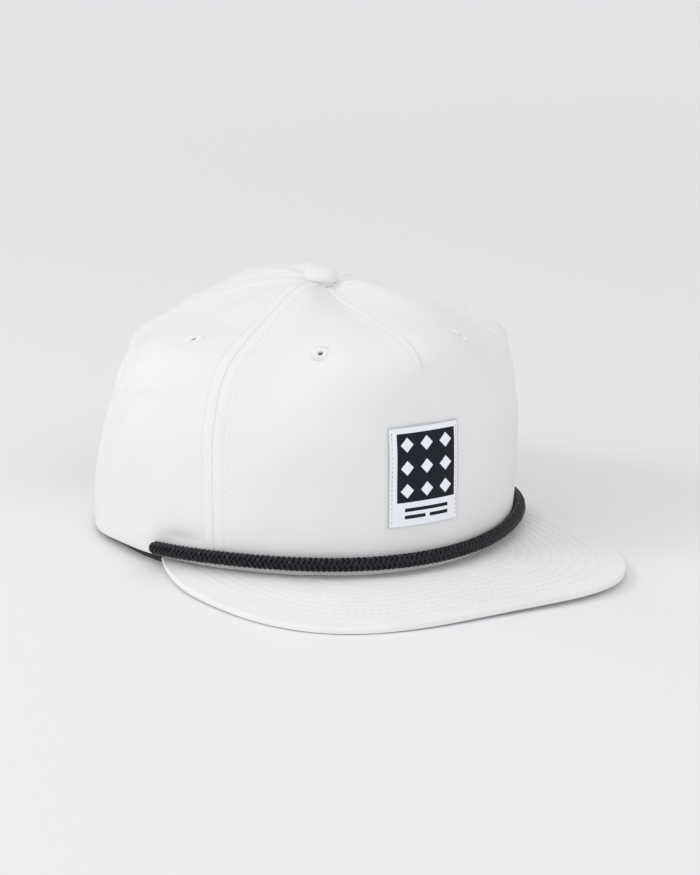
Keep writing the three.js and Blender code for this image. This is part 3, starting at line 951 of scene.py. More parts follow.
@dataclass(frozen=True)
class MouldedPlastic:
    """Satin plastic of the snap strap."""

    name: str = "strap_plastic"
    color: Color = (0.84, 0.84, 0.83)
    roughness: float = 0.34

    def build(self) -> bpy.types.Material:
        """Builds the material: a faint mould texture and slight handling marks.

        Returns:
            The material.
        """
        recipe = Recipe(self.name)
        fine = recipe.noise(1800, 3.0)
        marks = recipe.noise(60, 4.0)
        color = recipe.blend(recipe.ramp(marks, 0.4, 0.8), (*self.color, 1), (0.79, 0.79, 0.77, 1))
        rough = recipe.scaled(marks, 0.16, self.roughness - 0.08)
        return recipe.finish(color, recipe.bump(fine, 0.02, 0.5), rough)


class Wardrobe:
    """Every finish of the cap, built once."""

    def __init__(self) -> None:
        """Builds the materials."""
        white, warm = (0.84, 0.84, 0.847), (0.825, 0.823, 0.825)
        self.crown = WovenCloth("crown_cloth", white, warm, taped=True).build()
        # The brim is the crown's white cloth made lighter: painted light on the brim, which faces up.
        self.brim = WovenCloth("brim_cloth", (0.88, 0.878, 0.883), warm, crinkle=0.3).build()
        self.button = WovenCloth("button_cloth", white, warm, crinkle=0.15).build()
        self.band = WovenCloth("band_cloth", (0.030, 0.026, 0.029), (0.022, 0.019, 0.021), pitch=0.7,
                               weave_depth=0.1, sheen=0.05).build()
        self.stitch = Thread("stitch_thread", (0.86, 0.85, 0.83), (0.78, 0.77, 0.75)).build()
        self.eyelet = Thread("eyelet_thread", (0.93, 0.92, 0.895), (0.87, 0.855, 0.83)).build()
        self.dash = Thread("label_thread", (0.42, 0.44, 0.49), (0.30, 0.32, 0.37)).build()
        self.rope = Thread("rope_braid", (0.0034, 0.0051, 0.0105), (0.0015, 0.0022, 0.0045), roughness=0.34,
                           specular=0.42, grain=1700.0, depth=0.1).build()
        self.label = WovenLabel().build()
        self.plastic = MouldedPlastic().build()


def put(name: str, data: bpy.types.ID) -> bpy.types.Object:
    """A new object in the scene.

    Args:
        name: Its name.
        data: Its mesh, curve, camera or lamp.

    Returns:
        The object.
    """
    made = bpy.data.objects.new(name, data)
    bpy.context.scene.collection.objects.link(made)
    return made


def settled(work: bmesh.types.BMesh, name: str) -> bpy.types.Mesh:
    """A finished bmesh as a mesh.

    Args:
        work: The bmesh, which is freed.
        name: The mesh's name.

    Returns:
        The mesh.
    """
    mesh = bpy.data.meshes.new(name)
    work.to_mesh(mesh)
    work.free()
    return mesh


def standing(spot: Sequence[float], normal: Sequence[float]) -> Matrix:
    """The move that stands a turned body on a spot, with its axis along a normal."""
    turn = Vector((0, 0, 1)).rotation_difference(Vector(normal)).to_matrix().to_4x4()
    return Matrix.Translation(Vector(spot)) @ turn


def add_piece(name: str, mesh: bpy.types.Mesh, material: bpy.types.Material,
              replaces: Sequence[str] = ()) -> bpy.types.Object:
    """Puts a finished mesh into the scene as a piece of the cap.

    Args:
        name: The piece's name.
        mesh: Its mesh, in metres in the frame.
        material: Its finish.
        replaces: CAD nodes that it stands for.

    Returns:
        The new object, which rides on the cap's only body.
    """
    mesh.name = name
    mesh.materials.clear()
    mesh.materials.append(material)
    mesh.polygons.foreach_set("use_smooth", [True] * len(mesh.polygons))
    mesh.set_sharp_from_angle(angle=math.radians(52))
    piece = put(name, mesh)
    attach(piece, "root")
    if replaces:
        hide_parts(*replaces)
    LOG.info("%s: %d faces", name, len(mesh.polygons))
    return piece


class ClothSheet:
    """A grid that is laid on a surface, pierced or trimmed, and then given its thickness."""

    def __init__(self, columns: int, rows: int) -> None:
        """Makes the flat grid and works out the column and row of each vertex.

        Args:
            columns: Cells across.
            rows: Cells up.
        """
        self.mesh = bmesh.new()
        bmesh.ops.create_grid(self.mesh, x_segments=columns, y_segments=rows, size=1.0)
        self.mesh.verts.ensure_lookup_table()
        flat = np.array([vert.co[:2] for vert in self.mesh.verts])
        self.column = np.rint((flat[:, 0] + 1) / 2 * columns).astype(int)
        self.row = np.rint((flat[:, 1] + 1) / 2 * rows).astype(int)
        self.spot = self.mesh.verts.layers.int.new("spot")
        for index, vert in enumerate(self.mesh.verts):
            vert[self.spot] = index

    def lay(self, shape: CapShape, points: Array, away_from: Sequence[float]) -> None:
        """Moves the grid's vertices into place, with its faces turned away from a point.

        Args:
            shape: The cap's shape, which knows where the frame lies.
            points: A place in millimetres for each vertex.
            away_from: The point that the faces look away from, in millimetres.
        """
        for vert, point in zip(self.mesh.verts, shape.to_row(points)):
            vert.co = point
        self.mesh.normal_update()
        middle = Vector(shape.to_row(np.array(away_from, float)))
        if sum(vert.normal.dot(vert.co - middle) for vert in self.mesh.verts) < 0:
            bmesh.ops.reverse_faces(self.mesh, faces=self.mesh.faces[:])

    def chart(self, u: Array, v: Array) -> None:
        """Gives the cloth its own map.

        Args:
            u: The first coordinate of each vertex.
            v: The second coordinate of each vertex.
        """
        layer = self.mesh.loops.layers.uv.new("cloth")
        for face in self.mesh.faces:
            for loop in face.loops:
                index = loop.vert[self.spot]
                loop[layer].uv = (u[index], v[index])

    def mark(self, name: str, values: Array) -> None:
        """Stores a value for each vertex as an attribute.

        Args:
            name: The attribute's name.
            values: A value for each vertex.
        """
        layer = self.mesh.verts.layers.float.new(name)
        for vert in self.mesh.verts:
            vert[layer] = values[vert[self.spot]]

    def trim(self, inside: Callable[[Vector], bool], snap: Callable[[Vector, Vector], Vector]) -> None:
        """Cuts away what lies inside an outline and draws the new edge onto it.

        Args:
            inside: Whether a point is to be cut away.
            snap: Moves a point with its normal onto the outline.
        """
        self.mesh.normal_update()
        edge = {vert[self.spot] for vert in self.mesh.verts if vert.is_boundary}
        gone = [vert for vert in self.mesh.verts if inside(vert.co)]
        bmesh.ops.delete(self.mesh, geom=gone, context="VERTS")
        for vert in self.mesh.verts:
            if vert.is_boundary and vert[self.spot] not in edge:
                vert.co = snap(vert.co, vert.normal)

    def punch(self, centre: Vector, radius: float, cell: float) -> None:
        """Makes a round hole.

        Args:
            centre: Its middle, in metres.
            radius: Its radius in millimetres.
            cell: The grid's cell in millimetres.
        """
        reach = (radius + 0.35 * cell) * MM

        def snap(point: Vector, normal: Vector) -> Vector:
            """Draws a point towards the hole's edge in the cloth's plane.

            Args:
                point: A point beside the hole.
                normal: The cloth's normal there.

            Returns:
                The point on the edge.
            """
            away = point - centre
            flat = away - normal * away.dot(normal)
            return point - flat + flat.normalized() * radius * MM

        self.trim(lambda point: (point - centre).length < reach, snap)

    def thicken(self, thickness: float) -> None:
        """Gives the cloth an even thickness in millimetres, away from its face."""
        self.mesh.normal_update()
        self.close({vert[self.spot]: vert.co - vert.normal * thickness * MM for vert in self.mesh.verts})

    def close(self, inner: object) -> None:
        """Closes the cloth with an inner face whose points are given by vertex.

        Args:
            inner: The inner place of each vertex, in metres.
        """
        made = bmesh.ops.extrude_face_region(self.mesh, geom=self.mesh.faces[:])
        for part in made["geom"]:
            if isinstance(part, bmesh.types.BMVert):
                part.co = inner[part[self.spot]]
        bmesh.ops.recalc_face_normals(self.mesh, faces=self.mesh.faces[:])

    def round_edges(self, offset: float) -> None:
        """Rounds the cloth's cut edges by an offset in millimetres.

        Args:
            offset: The width that the rounding takes.
        """
        sharp = [edge for edge in self.mesh.edges if edge.calc_face_angle(0) > math.radians(50)]
        bmesh.ops.bevel(self.mesh, geom=sharp, offset=offset * MM, segments=2, profile=0.5,
                        affect="EDGES", material=-1, clamp_overlap=True)

    def done(self, name: str) -> bpy.types.Mesh:
        """Turns the work into a mesh."""
        self.mesh.verts.layers.int.remove(self.spot)
        return settled(self.mesh, name)


def tubes(paths: Iterable[Array], radius: float, sides: int = 0,
          radii: Array | None = None) -> bpy.types.Mesh:
    """Round threads along paths, closed at both ends, as one mesh.

    Args:
        paths: Points of each thread, in metres.
        radius: The threads' radius in millimetres.
        sides: Blender's bevel resolution, 0 for a square thread.
        radii: A share of the radius for each point of a path.

    Returns:
        The mesh.
    """
    curve = bpy.data.curves.new("thread", "CURVE")
    curve.dimensions = "3D"
    curve.bevel_depth = radius * MM
    curve.bevel_resolution = sides
    curve.use_fill_caps = True
    for path in paths:
        spline = curve.splines.new("POLY")
        spline.points.add(len(path) - 1)
        flat = np.concatenate([path, np.ones((len(path), 1))], axis=1)
        spline.points.foreach_set("co", flat.ravel())
        if radii is not None:
            spline.points.foreach_set("radius", radii)
    holder = put("thread", curve)
    graph = bpy.context.evaluated_depsgraph_get()
    mesh = bpy.data.meshes.new_from_object(holder.evaluated_get(graph))
    bpy.data.objects.remove(holder)
    bpy.data.curves.remove(curve)
    return mesh


def joined(*meshes: bpy.types.Mesh) -> bpy.types.Mesh:
    """Several meshes as one.

    Args:
        *meshes: The meshes.

    Returns:
        The new mesh.
    """
    work = bmesh.new()
    for mesh in meshes:
        work.from_mesh(mesh)
    return settled(work, "joined")


def turned(profile: Sequence[tuple[float, float]], steps: int) -> bmesh.types.BMesh:
    """A turned body from a profile of radius and height in millimetres, closed round the axis.

    Args:
        profile: Points of radius and height, in order.
        steps: Faces round the axis.

    Returns:
        The body as a bmesh, round Z, in metres.
    """
    work = bmesh.new()
    verts = [work.verts.new((radius * MM, 0, height * MM)) for radius, height in profile]
    edges = [work.edges.new(pair) for pair in zip(verts, verts[1:])]
    bmesh.ops.spin(work, geom=verts + edges, cent=(0, 0, 0), axis=(0, 0, 1), dvec=(0, 0, 0),
                   angle=math.tau, steps=steps, use_merge=True)
    bmesh.ops.remove_doubles(work, verts=work.verts[:], dist=1e-6)
    bmesh.ops.recalc_face_normals(work, faces=work.faces[:])
    return work


@dataclass(frozen=True)
class StitchRow:
    """A row of sewn stitches that dip into the cloth at both ends."""

    pitch: float = 2.9
    length: float = 2.1
    radius: float = 0.14
    crown: float = 0.09
    dip: float = 0.2

    def along(self, path: Array, normals: Array) -> list[Array]:
        """The stitches on a path.

        Args:
            path: Points of the cloth in millimetres.
            normals: The cloth's normal at each point.

        Returns:
            The path of each stitch, in millimetres.
        """
        run = run_along(path)
        share = np.array([0.0, 0.18, 0.5, 0.82, 1.0])
        lift = np.array([-self.dip, self.crown * 0.7, self.crown, self.crown * 0.7, -self.dip])
        starts = np.arange(self.pitch * 0.3, run[-1] - self.length, self.pitch)
        return [points_at(start + self.length * share, run, path)
                + points_at(start + self.length * share, run, normals) * lift[:, None] for start in starts]

    def sew(self, name: str, shape: CapShape, paths: Sequence[Array], finish: bpy.types.Material) -> None:
        """Adds a group of stitches, given by their paths in millimetres, as one piece."""
        add_piece(name, tubes([shape.to_row(path) for path in paths], self.radius), finish)


@dataclass(frozen=True)
class EyeletPlace:
    """Where an eyelet sits: its name, its angle round the crown and its height."""

    name: str
    angle: float
    height: float


EYELETS = (
    EyeletPlace("front", 28.3, 90.6),
    EyeletPlace("side", 72.0, 91.0),
    EyeletPlace("back", 151.0, 91.5),
)


@dataclass
class Crown:
    """The five sewn panels, their stitching and the six eyelets."""

    shape: CapShape
    relief: ClothRelief
    finishes: Wardrobe
    cell: float = 1.55
    rows: int = 92
    top: float = 0.965
    half_gap: float = 0.012
    inner_room: float = 0.1
    edge_round: float = 0.07
    row_spread: float = 1.02
    edge_share: float = 0.36
    edge_steps: tuple[float, ...] = (0, 0.45, 0.9, 1.5, 2.3, 3.2, 4.0, 4.5, 5.0, 5.5, 6.0, 6.6, 7.4, 8.6)
    hole_radius: float = 1.75
    arch_half_width: float = 48.0
    arch_height: float = 56.0
    arch_exponent: float = 2.3
    stitched: tuple[float, float] = (0.015, 0.93)
    stitched_over_arch: float = 0.52
    satin_stitches: int = 54
    satin_radius: float = 0.17
    satin_reach: float = 4.15

    def eyelet_frames(self) -> list[tuple[str, float, Array, Array]]:
        """The name, the angle, the middle and the outward normal of each eyelet, in millimetres.

        Returns:
            A row for each of the six eyelets.
        """
        found = []
        for place in EYELETS:
            for side in Side:
                angle = np.array(place.angle * side.value)
                up = self.shape.up_at_height(angle, np.array(place.height))
                centre = self.relief.surface(angle, up)
                found.append((f"eyelet_{place.name}_{side.word}", float(angle), centre,
                              self.shape.normal(angle, up)))
        return found

    def columns(self, width: float) -> Array:
        """Places across a panel as shares of its width at the rim, closer beside the seams.

        Args:
            width: The panel's width in millimetres.

        Returns:
            Distances from its first seam.
        """
        edge = np.array(self.edge_steps)
        count = max(2, round((width - 2 * edge[-1]) / self.cell))
        middle = np.linspace(edge[-1], width - edge[-1], count + 1)[1:-1]
        return np.concatenate([edge, middle, width - edge[::-1]])

    def panel_points(self, start: Seam, end: Seam) -> tuple[ClothSheet, Array, Array, Array]:
        """The grid of one panel with the angle, the share of the way up and the width at each vertex.

        Args:
            start: The seam at the panel's first edge.
            end: The seam at its last edge.

        Returns:
            The sheet, and the angle, height share and distance across for each vertex.
        """
        rises = np.linspace(0, 1, self.rows + 1) ** self.row_spread * self.top
        middle = (start.angle(rises) + end.angle(rises)) / 2
        span = end.angle(rises) - start.angle(rises)
        widths = np.array([np.sum(np.linalg.norm(np.diff(self.shape.point(
            np.linspace(m - s / 2, m + s / 2, 40), u), axis=0), axis=1))
            for m, s, u in zip(middle, span, rises)])
        places = self.columns(widths[:self.rows // 2].max())
        sheet = ClothSheet(len(places) - 1, self.rows)
        width = widths[sheet.row]
        full = places[-1]
        edge = self.edge_steps[-1]
        limit = np.minimum(edge, width * self.edge_share)
        raw = places[sheet.column]
        from_end = full - raw
        inner = (raw - edge) / (full - 2 * edge)
        across = np.where(raw <= edge, raw / edge * limit,
                          np.where(from_end <= edge, width - from_end / edge * limit,
                                   limit + inner * (width - 2 * limit)))
        gap = self.half_gap
        across = gap + across / width * (width - 2 * gap)
        up = rises[sheet.row]
        angle = start.angle(up) + (end.angle(up) - start.angle(up)) * across / width
        return sheet, angle, up, across

    def arch_share(self, x: float, rise: float) -> float:
        """How far out a point of the back lies from the arch's foot, with 1 on the arch.

        Args:
            x: Millimetres from the middle.
            rise: Millimetres over the arch's foot.

        Returns:
            The share, under 1 inside the arch.
        """
        power = self.arch_exponent
        high = max(0.0, rise) / self.arch_height
        return ((abs(x) / self.arch_half_width) ** power + high**power) ** (1 / power)

    def cut_arch(self, sheet: ClothSheet) -> None:
        """Opens the arch over the snap strap.

        Args:
            sheet: The panel's cloth.
        """
        foot = (self.shape.back_height + self.shape.shift[2]) * MM

        def inside(point: Vector) -> bool:
            """Whether a point lies in the arch or almost on its edge.

            Args:
                point: A point of the cloth.

            Returns:
                Whether it is cut away.
            """
            x, rise = point.x / MM, (point.z - foot) / MM
            if point.y < 0:
                return False
            return (self.arch_share(x, rise) - 1) * math.hypot(x, rise) < 0.35 * self.cell

        def snap(point: Vector, normal: Vector) -> Vector:
            """Draws a point towards the arch within the cloth's plane.

            Args:
                point: A point beside the arch.
                normal: The cloth's normal there.

            Returns:
                The point on the arch.
            """
            share = self.arch_share(point.x / MM, (point.z - foot) / MM)
            step = Vector((point.x / share - point.x, 0, (point.z - foot) / share + foot - point.z))
            step.y = -(normal.x * step.x + normal.z * step.z) / normal.y
            return point + step

        sheet.trim(inside, snap)

    def panel(self, name: str, start: Seam, end: Seam, arch: bool = False) -> bpy.types.Object:
        """One sewn panel with its holes.

        Args:
            name: The CAD node that it stands for.
            start: The seam at its first edge.
            end: The seam at its last edge.
            arch: Whether the arch is cut out of it.

        Returns:
            The piece.
        """
        sheet, angle, up, across = self.panel_points(start, end)
        points = self.relief.surface(angle, up)
        sheet.lay(self.shape, points, (0, 0, 30))
        sheet.chart(across / 10, points[:, 2] / 10 + up * 3)
        sheet.mark("seam", self.relief.seam_distance(angle, up))
        low, high = sorted((float(angle.min()), float(angle.max())))
        for _, place, centre, _ in self.eyelet_frames():
            if low < place < high:
                sheet.punch(Vector(self.shape.to_row(centre)), self.hole_radius, self.cell)
        if arch:
            self.cut_arch(sheet)
        sheet.thicken(self.shape.cloth - self.inner_room)
        sheet.round_edges(self.edge_round)
        return add_piece(f"{name}_cloth", sheet.done(name), self.finishes.crown, (name,))

    def build_panels(self) -> None:
        """Sews the five panels."""
        front, back, middle = self.shape.front_seam, self.shape.back_seam, self.shape.middle_back
        self.panel("front_panel", front.mirrored(), front)
        self.panel("side_panel_left", front, back)
        self.panel("side_panel_right", back.mirrored(), front.mirrored())
        self.panel("back_panel_left", back, middle, arch=True)
        self.panel("back_panel_right", middle.mirrored(), back.mirrored(), arch=True)

    def build_stitches(self) -> None:
        """Runs a row of stitches down both sides of every seam."""
        row = StitchRow()
        paths = []
        rises = np.linspace(*self.stitched, 260)
        for seam in self.relief.seams:
            on_back = abs(seam.rim) > 170
            rise = rises[rises > self.stitched_over_arch] if on_back else rises
            scale = self.shape.per_degree(seam.angle(rise), rise)
            for sign in (-1, 1):
                forward = sign * seam.rim < 0
                distance = self.relief.rows[1 if forward != on_back else 0]
                angle = seam.angle(rise) + sign * distance / scale
                keep = distance < scale * 20
                points = self.relief.surface(angle, rise)[keep]
                paths += row.along(points, self.shape.normal(angle, rise)[keep])
        row.sew("crown_stitches", self.shape, paths, self.finishes.stitch)

    def build_eyelet(self, name: str, centre: Array, normal: Array) -> None:
        """Sews one eyelet: a padded ring with satin stitches over it and a short sleeve.

        Args:
            name: The CAD node that it stands for.
            centre: Its middle in millimetres.
            normal: The cloth's outward normal.
        """
        profile = ((1.74, -1.9), (1.95, -1.9), (1.95, -0.5), (3.6, -0.3), (3.9, 0.02), (3.3, 0.2),
                   (2.4, 0.28), (1.7, 0.16), (1.3, -0.15), (1.25, -0.35), (1.74, -1.9))
        base = settled(turned(profile, 40), name)
        wobble = np.random.default_rng(len(name) * 7)
        stitches = []
        for step in range(self.satin_stitches):
            around = math.tau * step / self.satin_stitches
            outer = self.satin_reach + wobble.uniform(-0.2, 0.16)
            radii = np.array([1.2, 1.35, 1.9, 2.7, 3.6, outer])
            rise = np.array([-0.6, 0.02, 0.3, 0.36, 0.2, -0.12])
            lean = around + 0.035 * (radii - 1)
            stitches.append(np.stack([radii * np.cos(lean), radii * np.sin(lean), rise], axis=1) * MM)
        mesh = joined(base, tubes(stitches, self.satin_radius))
        mesh.transform(standing(self.shape.to_row(centre), normal))
        add_piece(f"{name}_thread", mesh, self.finishes.eyelet, (name,))

    def build(self) -> None:
        """Builds the crown."""
        self.build_panels()
        self.build_stitches()
        for name, _, centre, normal in self.eyelet_frames():
            self.build_eyelet(name, centre, normal)


@dataclass
class Brim:
    """The flat brim, cloth over a board, with rows of stitching that follow its edge."""

    shape: CapShape
    finishes: Wardrobe
    columns: int = 190
    rows: int = 112
    edge_round: float = 0.6
    first_row: float = 11.6
    row_gap: float = 5.3
    row_count: int = 9
    groove: float = 0.2
    groove_width: float = 0.8
    puff: float = 0.07
    edge_steps: tuple[float, ...] = (0.981, 0.986, 0.991, 0.994, 0.9965, 0.9985, 0.9995, 1.0)

    def edge_gap(self, across: Array, out: Array) -> Array:
        """Millimetres from a point of the brim to its outer edge, square to the edge.

        Args:
            across: The place across the brim, from -1 to 1 between its corners.
            out: The place outwards, from 0 at the crown to 1 at the edge.

        Returns:
            Distances in millimetres.
        """
        step = 0.002
        ends = self.shape.brim_plan(across, np.ones_like(across))
        ruling = ends - self.shape.brim_plan(across, np.zeros_like(across))
        after = self.shape.brim_plan(np.minimum(across + step, 1), np.ones_like(across))
        before = self.shape.brim_plan(np.maximum(across - step, -1), np.ones_like(across))
        along = unit(after - before)
        square = np.abs(ruling[..., 0] * along[..., 1] - ruling[..., 1] * along[..., 0])
        return (1 - out) * np.maximum(square, 1.0)

    def row_gaps(self) -> Array:
        """The distance of each row of stitching from the edge."""
        return self.first_row + self.row_gap * np.arange(self.row_count)

    def faces(self, across: Array, out: Array) -> tuple[Array, Array]:
        """The brim's upper and lower points in millimetres.

        Args:
            across: The place across the brim, from -1 to 1 between its corners.
            out: The place outwards, from 0 at the crown to 1 at the edge.

        Returns:
            The upper points and the lower ones.
        """
        plan = self.shape.brim_plan(across, out)
        low, thickness = self.shape.brim_heights(across, out)
        gap = self.edge_gap(across, out)
        tuck = np.clip(1 - gap / self.edge_round, 0, 1)
        half = thickness / 2 * np.maximum(1 - tuck**4, 0.008) ** 0.25
        groove = self.groove * sum(bell(gap - row, self.groove_width) for row in self.row_gaps())
        puff = self.puff * np.sin(plan[..., 0] / 4.1 + 3 * np.sin(gap / 9)) * (1 - tuck)
        middle = low + thickness / 2
        top = np.concatenate([plan, (middle + half - groove + puff)[..., None]], axis=-1)
        bottom = np.concatenate([plan, (middle - half + groove)[..., None]], axis=-1)
        return top, bottom

    def build_board(self) -> None:
        """Covers the board."""
        outs = np.concatenate([np.linspace(0, 0.975, self.rows), self.edge_steps])
        sheet = ClothSheet(self.columns, len(outs) - 1)
        across = 2 * sheet.column / self.columns - 1
        out = outs[sheet.row]
        top, bottom = self.faces(across, out)
        sheet.lay(self.shape, top, (0, -90, -800))
        sheet.chart(top[:, 0] / 10, top[:, 1] / 10)
        sheet.close(self.shape.to_row(bottom))
        add_piece("brim_cover", sheet.done("brim"), self.finishes.brim, ("brim",))

    def build_stitches(self) -> None:
        """Sews the rows on both faces of the brim."""
        row = StitchRow(pitch=3.1, length=2.35, radius=0.15, crown=0.1)
        across = np.linspace(-1, 1, 700)
        paths = []
        for distance in self.row_gaps():
            out = 1 - distance / self.edge_gap(across, np.zeros_like(across))
            keep = out > 0.035
            if keep.sum() < 20:
                continue
            top, bottom = self.faces(across[keep], out[keep])
            up = np.tile([0.0, 0.0, 1.0], (len(top), 1))
            paths += row.along(top, up) + row.along(bottom, -up)
        row.sew("brim_stitches", self.shape, paths, self.finishes.stitch)

    def build(self) -> None:
        """Builds the brim."""
        self.build_board()
        self.build_stitches()


@dataclass
class Rope:
    """A braided rope sewn along the foot of the front: strands that cross two over and two under."""

    shape: CapShape
    relief: ClothRelief
    finishes: Wardrobe
    radius: float = 2.75
    gap: float = 0.3
    height: float = 6.2
    drop: float = 3.2
    arch: float = 0.8
    end_angle: float = 73.5
    strands: int = 6
    lay: float = 13.2
    swollen: float = 3.05
    yarn_radius: float = 0.43
    weave: float = 0.52
    taper: float = 2.6
    step: float = 0.62
    yarn_spread: float = 0.18
    core_inset: float = 0.55
    end_yarn: float = 0.55

    def centre_line(self) -> tuple[Array, Array]:
        """Points of the rope's axis, evenly spaced, and the outward direction at each.

        Returns:
            The points, and a vector of length 1 for each.
        """
        angle = np.linspace(-self.end_angle, self.end_angle, 500)
        along = (self.shape.rim(angle)[:, 1] + self.shape.half_length) / self.shape.half_length
        arch = self.arch * np.sin(math.pi * np.clip(along / 0.8, 0, 1))
        up = self.shape.up_at_height(angle, self.height - self.drop * along**2 + arch)
        out = self.shape.normal(angle, up)
        axis = self.shape.point(angle, up) + out * (self.radius + self.gap)
        run = run_along(axis)
        even = np.linspace(0, run[-1], round(run[-1] / self.step))
        return points_at(even, run, axis), unit(points_at(even, run, out))

    def build(self) -> None:
        """Braids the rope round a plain core."""
        axis, out = self.centre_line()
        ahead = unit(np.gradient(axis, axis=0))
        side = np.cross(ahead, out)
        run = np.arange(len(axis)) * self.step
        from_end = np.minimum(run, run[-1] - run)
        swell = np.sqrt(1 - np.clip(1 - from_end / self.taper, 0, 1) ** 2)
        middle = self.swollen - self.yarn_radius - self.weave
        paths = []
        for way in (1, -1):
            for strand in range(self.strands):
                turn = math.tau * (strand / self.strands + way * run / self.lay)
                crossing = way * np.cos(self.strands / 2 * turn - math.pi / 4)
                reach = ((middle + self.weave * crossing) * swell)[:, None]
                for shift in (-self.yarn_spread, self.yarn_spread):
                    at = turn + shift
                    path = axis + reach * (np.cos(at)[:, None] * out + np.sin(at)[:, None] * side)
                    paths.append(self.shape.to_row(path))
        thin = self.end_yarn + (1 - self.end_yarn) * swell
        strands = tubes(paths, self.yarn_radius, 1, thin)
        core = tubes([self.shape.to_row(axis)], middle - self.core_inset, 3, np.maximum(swell, 0.05))
        add_piece("rope_braid", joined(strands, core), self.finishes.rope, ("rope",))


@dataclass
class Label:
    """The woven label on the front, with a dashed row of stitches down both sides."""

    shape: CapShape
    relief: ClothRelief
    finishes: Wardrobe
    width: float = 33.0
    height: float = 42.0
    bottom: float = 20.0
    lift: float = 1.0
    stitch_inset: float = 1.25
    thickness: float = 0.75
    edge_round: float = 0.22
    waviness: float = 0.1

    def surface(self, x: Array, z: Array, lift: float) -> tuple[Array, Array]:
        """Points and normals over the front at a distance from the middle and a height.

        Args:
            x: Millimetres from the middle.
            z: The height in millimetres.
            lift: Millimetres over the crown.

        Returns:
            The points and the normals.
        """
        angle, up = self.shape.front_place(x, z)
        normal = self.shape.normal(angle, up)
        return self.shape.point(angle, up) + normal * lift, normal

    def build(self) -> None:
        """Builds the label and its stitches."""
        columns, rows = 44, 56
        sheet = ClothSheet(columns, rows)
        u, v = sheet.column / columns, sheet.row / rows
        wave = self.waviness * np.sin(u * 9 + 1) * np.sin(v * 11)
        points, normal = self.surface(self.width * (u - 0.5), self.bottom + self.height * v, self.lift)
        points = points + normal * wave[:, None]
        sheet.lay(self.shape, points, (0, 0, 30))
        sheet.chart(u, v)
        sheet.thicken(self.thickness)
        sheet.round_edges(self.edge_round)
        add_piece("label_woven", sheet.done("label"), self.finishes.label, ("label",))
        row = StitchRow(pitch=1.95, length=1.15, radius=0.13, crown=0.05)
        heights = np.linspace(self.bottom + 1.2, self.bottom + self.height - 1.2, 80)
        paths = []
        for side in Side:
            x = np.full_like(heights, side.value * (self.width / 2 - self.stitch_inset))
            paths += row.along(*self.surface(x, heights, self.lift + 0.03))
        row.sew("label_stitches", self.shape, paths, self.finishes.dash)


@dataclass
class Button:
    """The covered button, tilted with the top of the crown, with its shank and washer inside."""

    finishes: Wardrobe
    radius: float = 7.6
    height: float = 4.6
    skirt: float = 1.0
    shank: float = 2.8
    washer: float = 5.2
    washer_thickness: float = 0.9
    washer_drop: float = 5.5
    tilt: float = 10.0
    pleats: int = 14

    def build(self) -> None:
        """Turns the button, pleats its edge and seats it where the frame has it."""
        low = -self.washer_drop - self.washer_thickness
        profile = [(0, low), (self.washer - 0.3, low), (self.washer, low + 0.3),
                   (self.washer, -self.washer_drop - 0.2), (self.washer - 0.3, -self.washer_drop),
                   (self.shank, -self.washer_drop), (self.shank, -2.2), (self.radius - 1.3, -2.0),
                   (self.radius - 1.1, -0.6),
                   (self.radius - 0.5, 0.1), (self.radius - 0.12, 0.5)]
        for share in np.linspace(0, 1, 18):
            turn = share * math.pi / 2
            profile.append((self.radius * math.cos(turn) if share < 1 else 0.0,
                            self.skirt + (self.height - self.skirt) * math.sin(turn) ** 0.92))
        body = turned(profile, 84)
        for vert in body.verts:
            reach = math.hypot(vert.co.x, vert.co.y) / MM
            if vert.co.z > 0 and reach > 3:
                around = math.atan2(vert.co.y, vert.co.x)
                fade = min(1.0, (reach - 3) / 4) * max(0.0, 1 - vert.co.z / MM / self.height)
                ripple = 0.14 * math.sin(around * self.pleats + 0.8 * math.sin(around * 3)) * fade
                vert.co += Vector((vert.co.x, vert.co.y, 0)).normalized() * ripple * MM
        body.transform(Matrix.Rotation(math.radians(self.tilt), 4, "X"))
        chart = body.loops.layers.uv.new("cloth")
        for face in body.faces:
            for loop in face.loops:
                loop[chart].uv = (loop.vert.co.x / MM / 10, loop.vert.co.y / MM / 10)
        mesh = settled(body, "button")
        low_corner, high_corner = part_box("button")
        spots = np.array([vert.co for vert in mesh.vertices])
        middle = (spots.min(axis=0) + spots.max(axis=0)) / 2
        seat = Vector(((low_corner.x + high_corner.x) / 2 - middle[0],
                       (low_corner.y + high_corner.y) / 2 - middle[1], high_corner.z - spots[:, 2].max()))
        mesh.transform(Matrix.Translation(seat))
        add_piece("button_cover", mesh, self.finishes.button, ("button",))


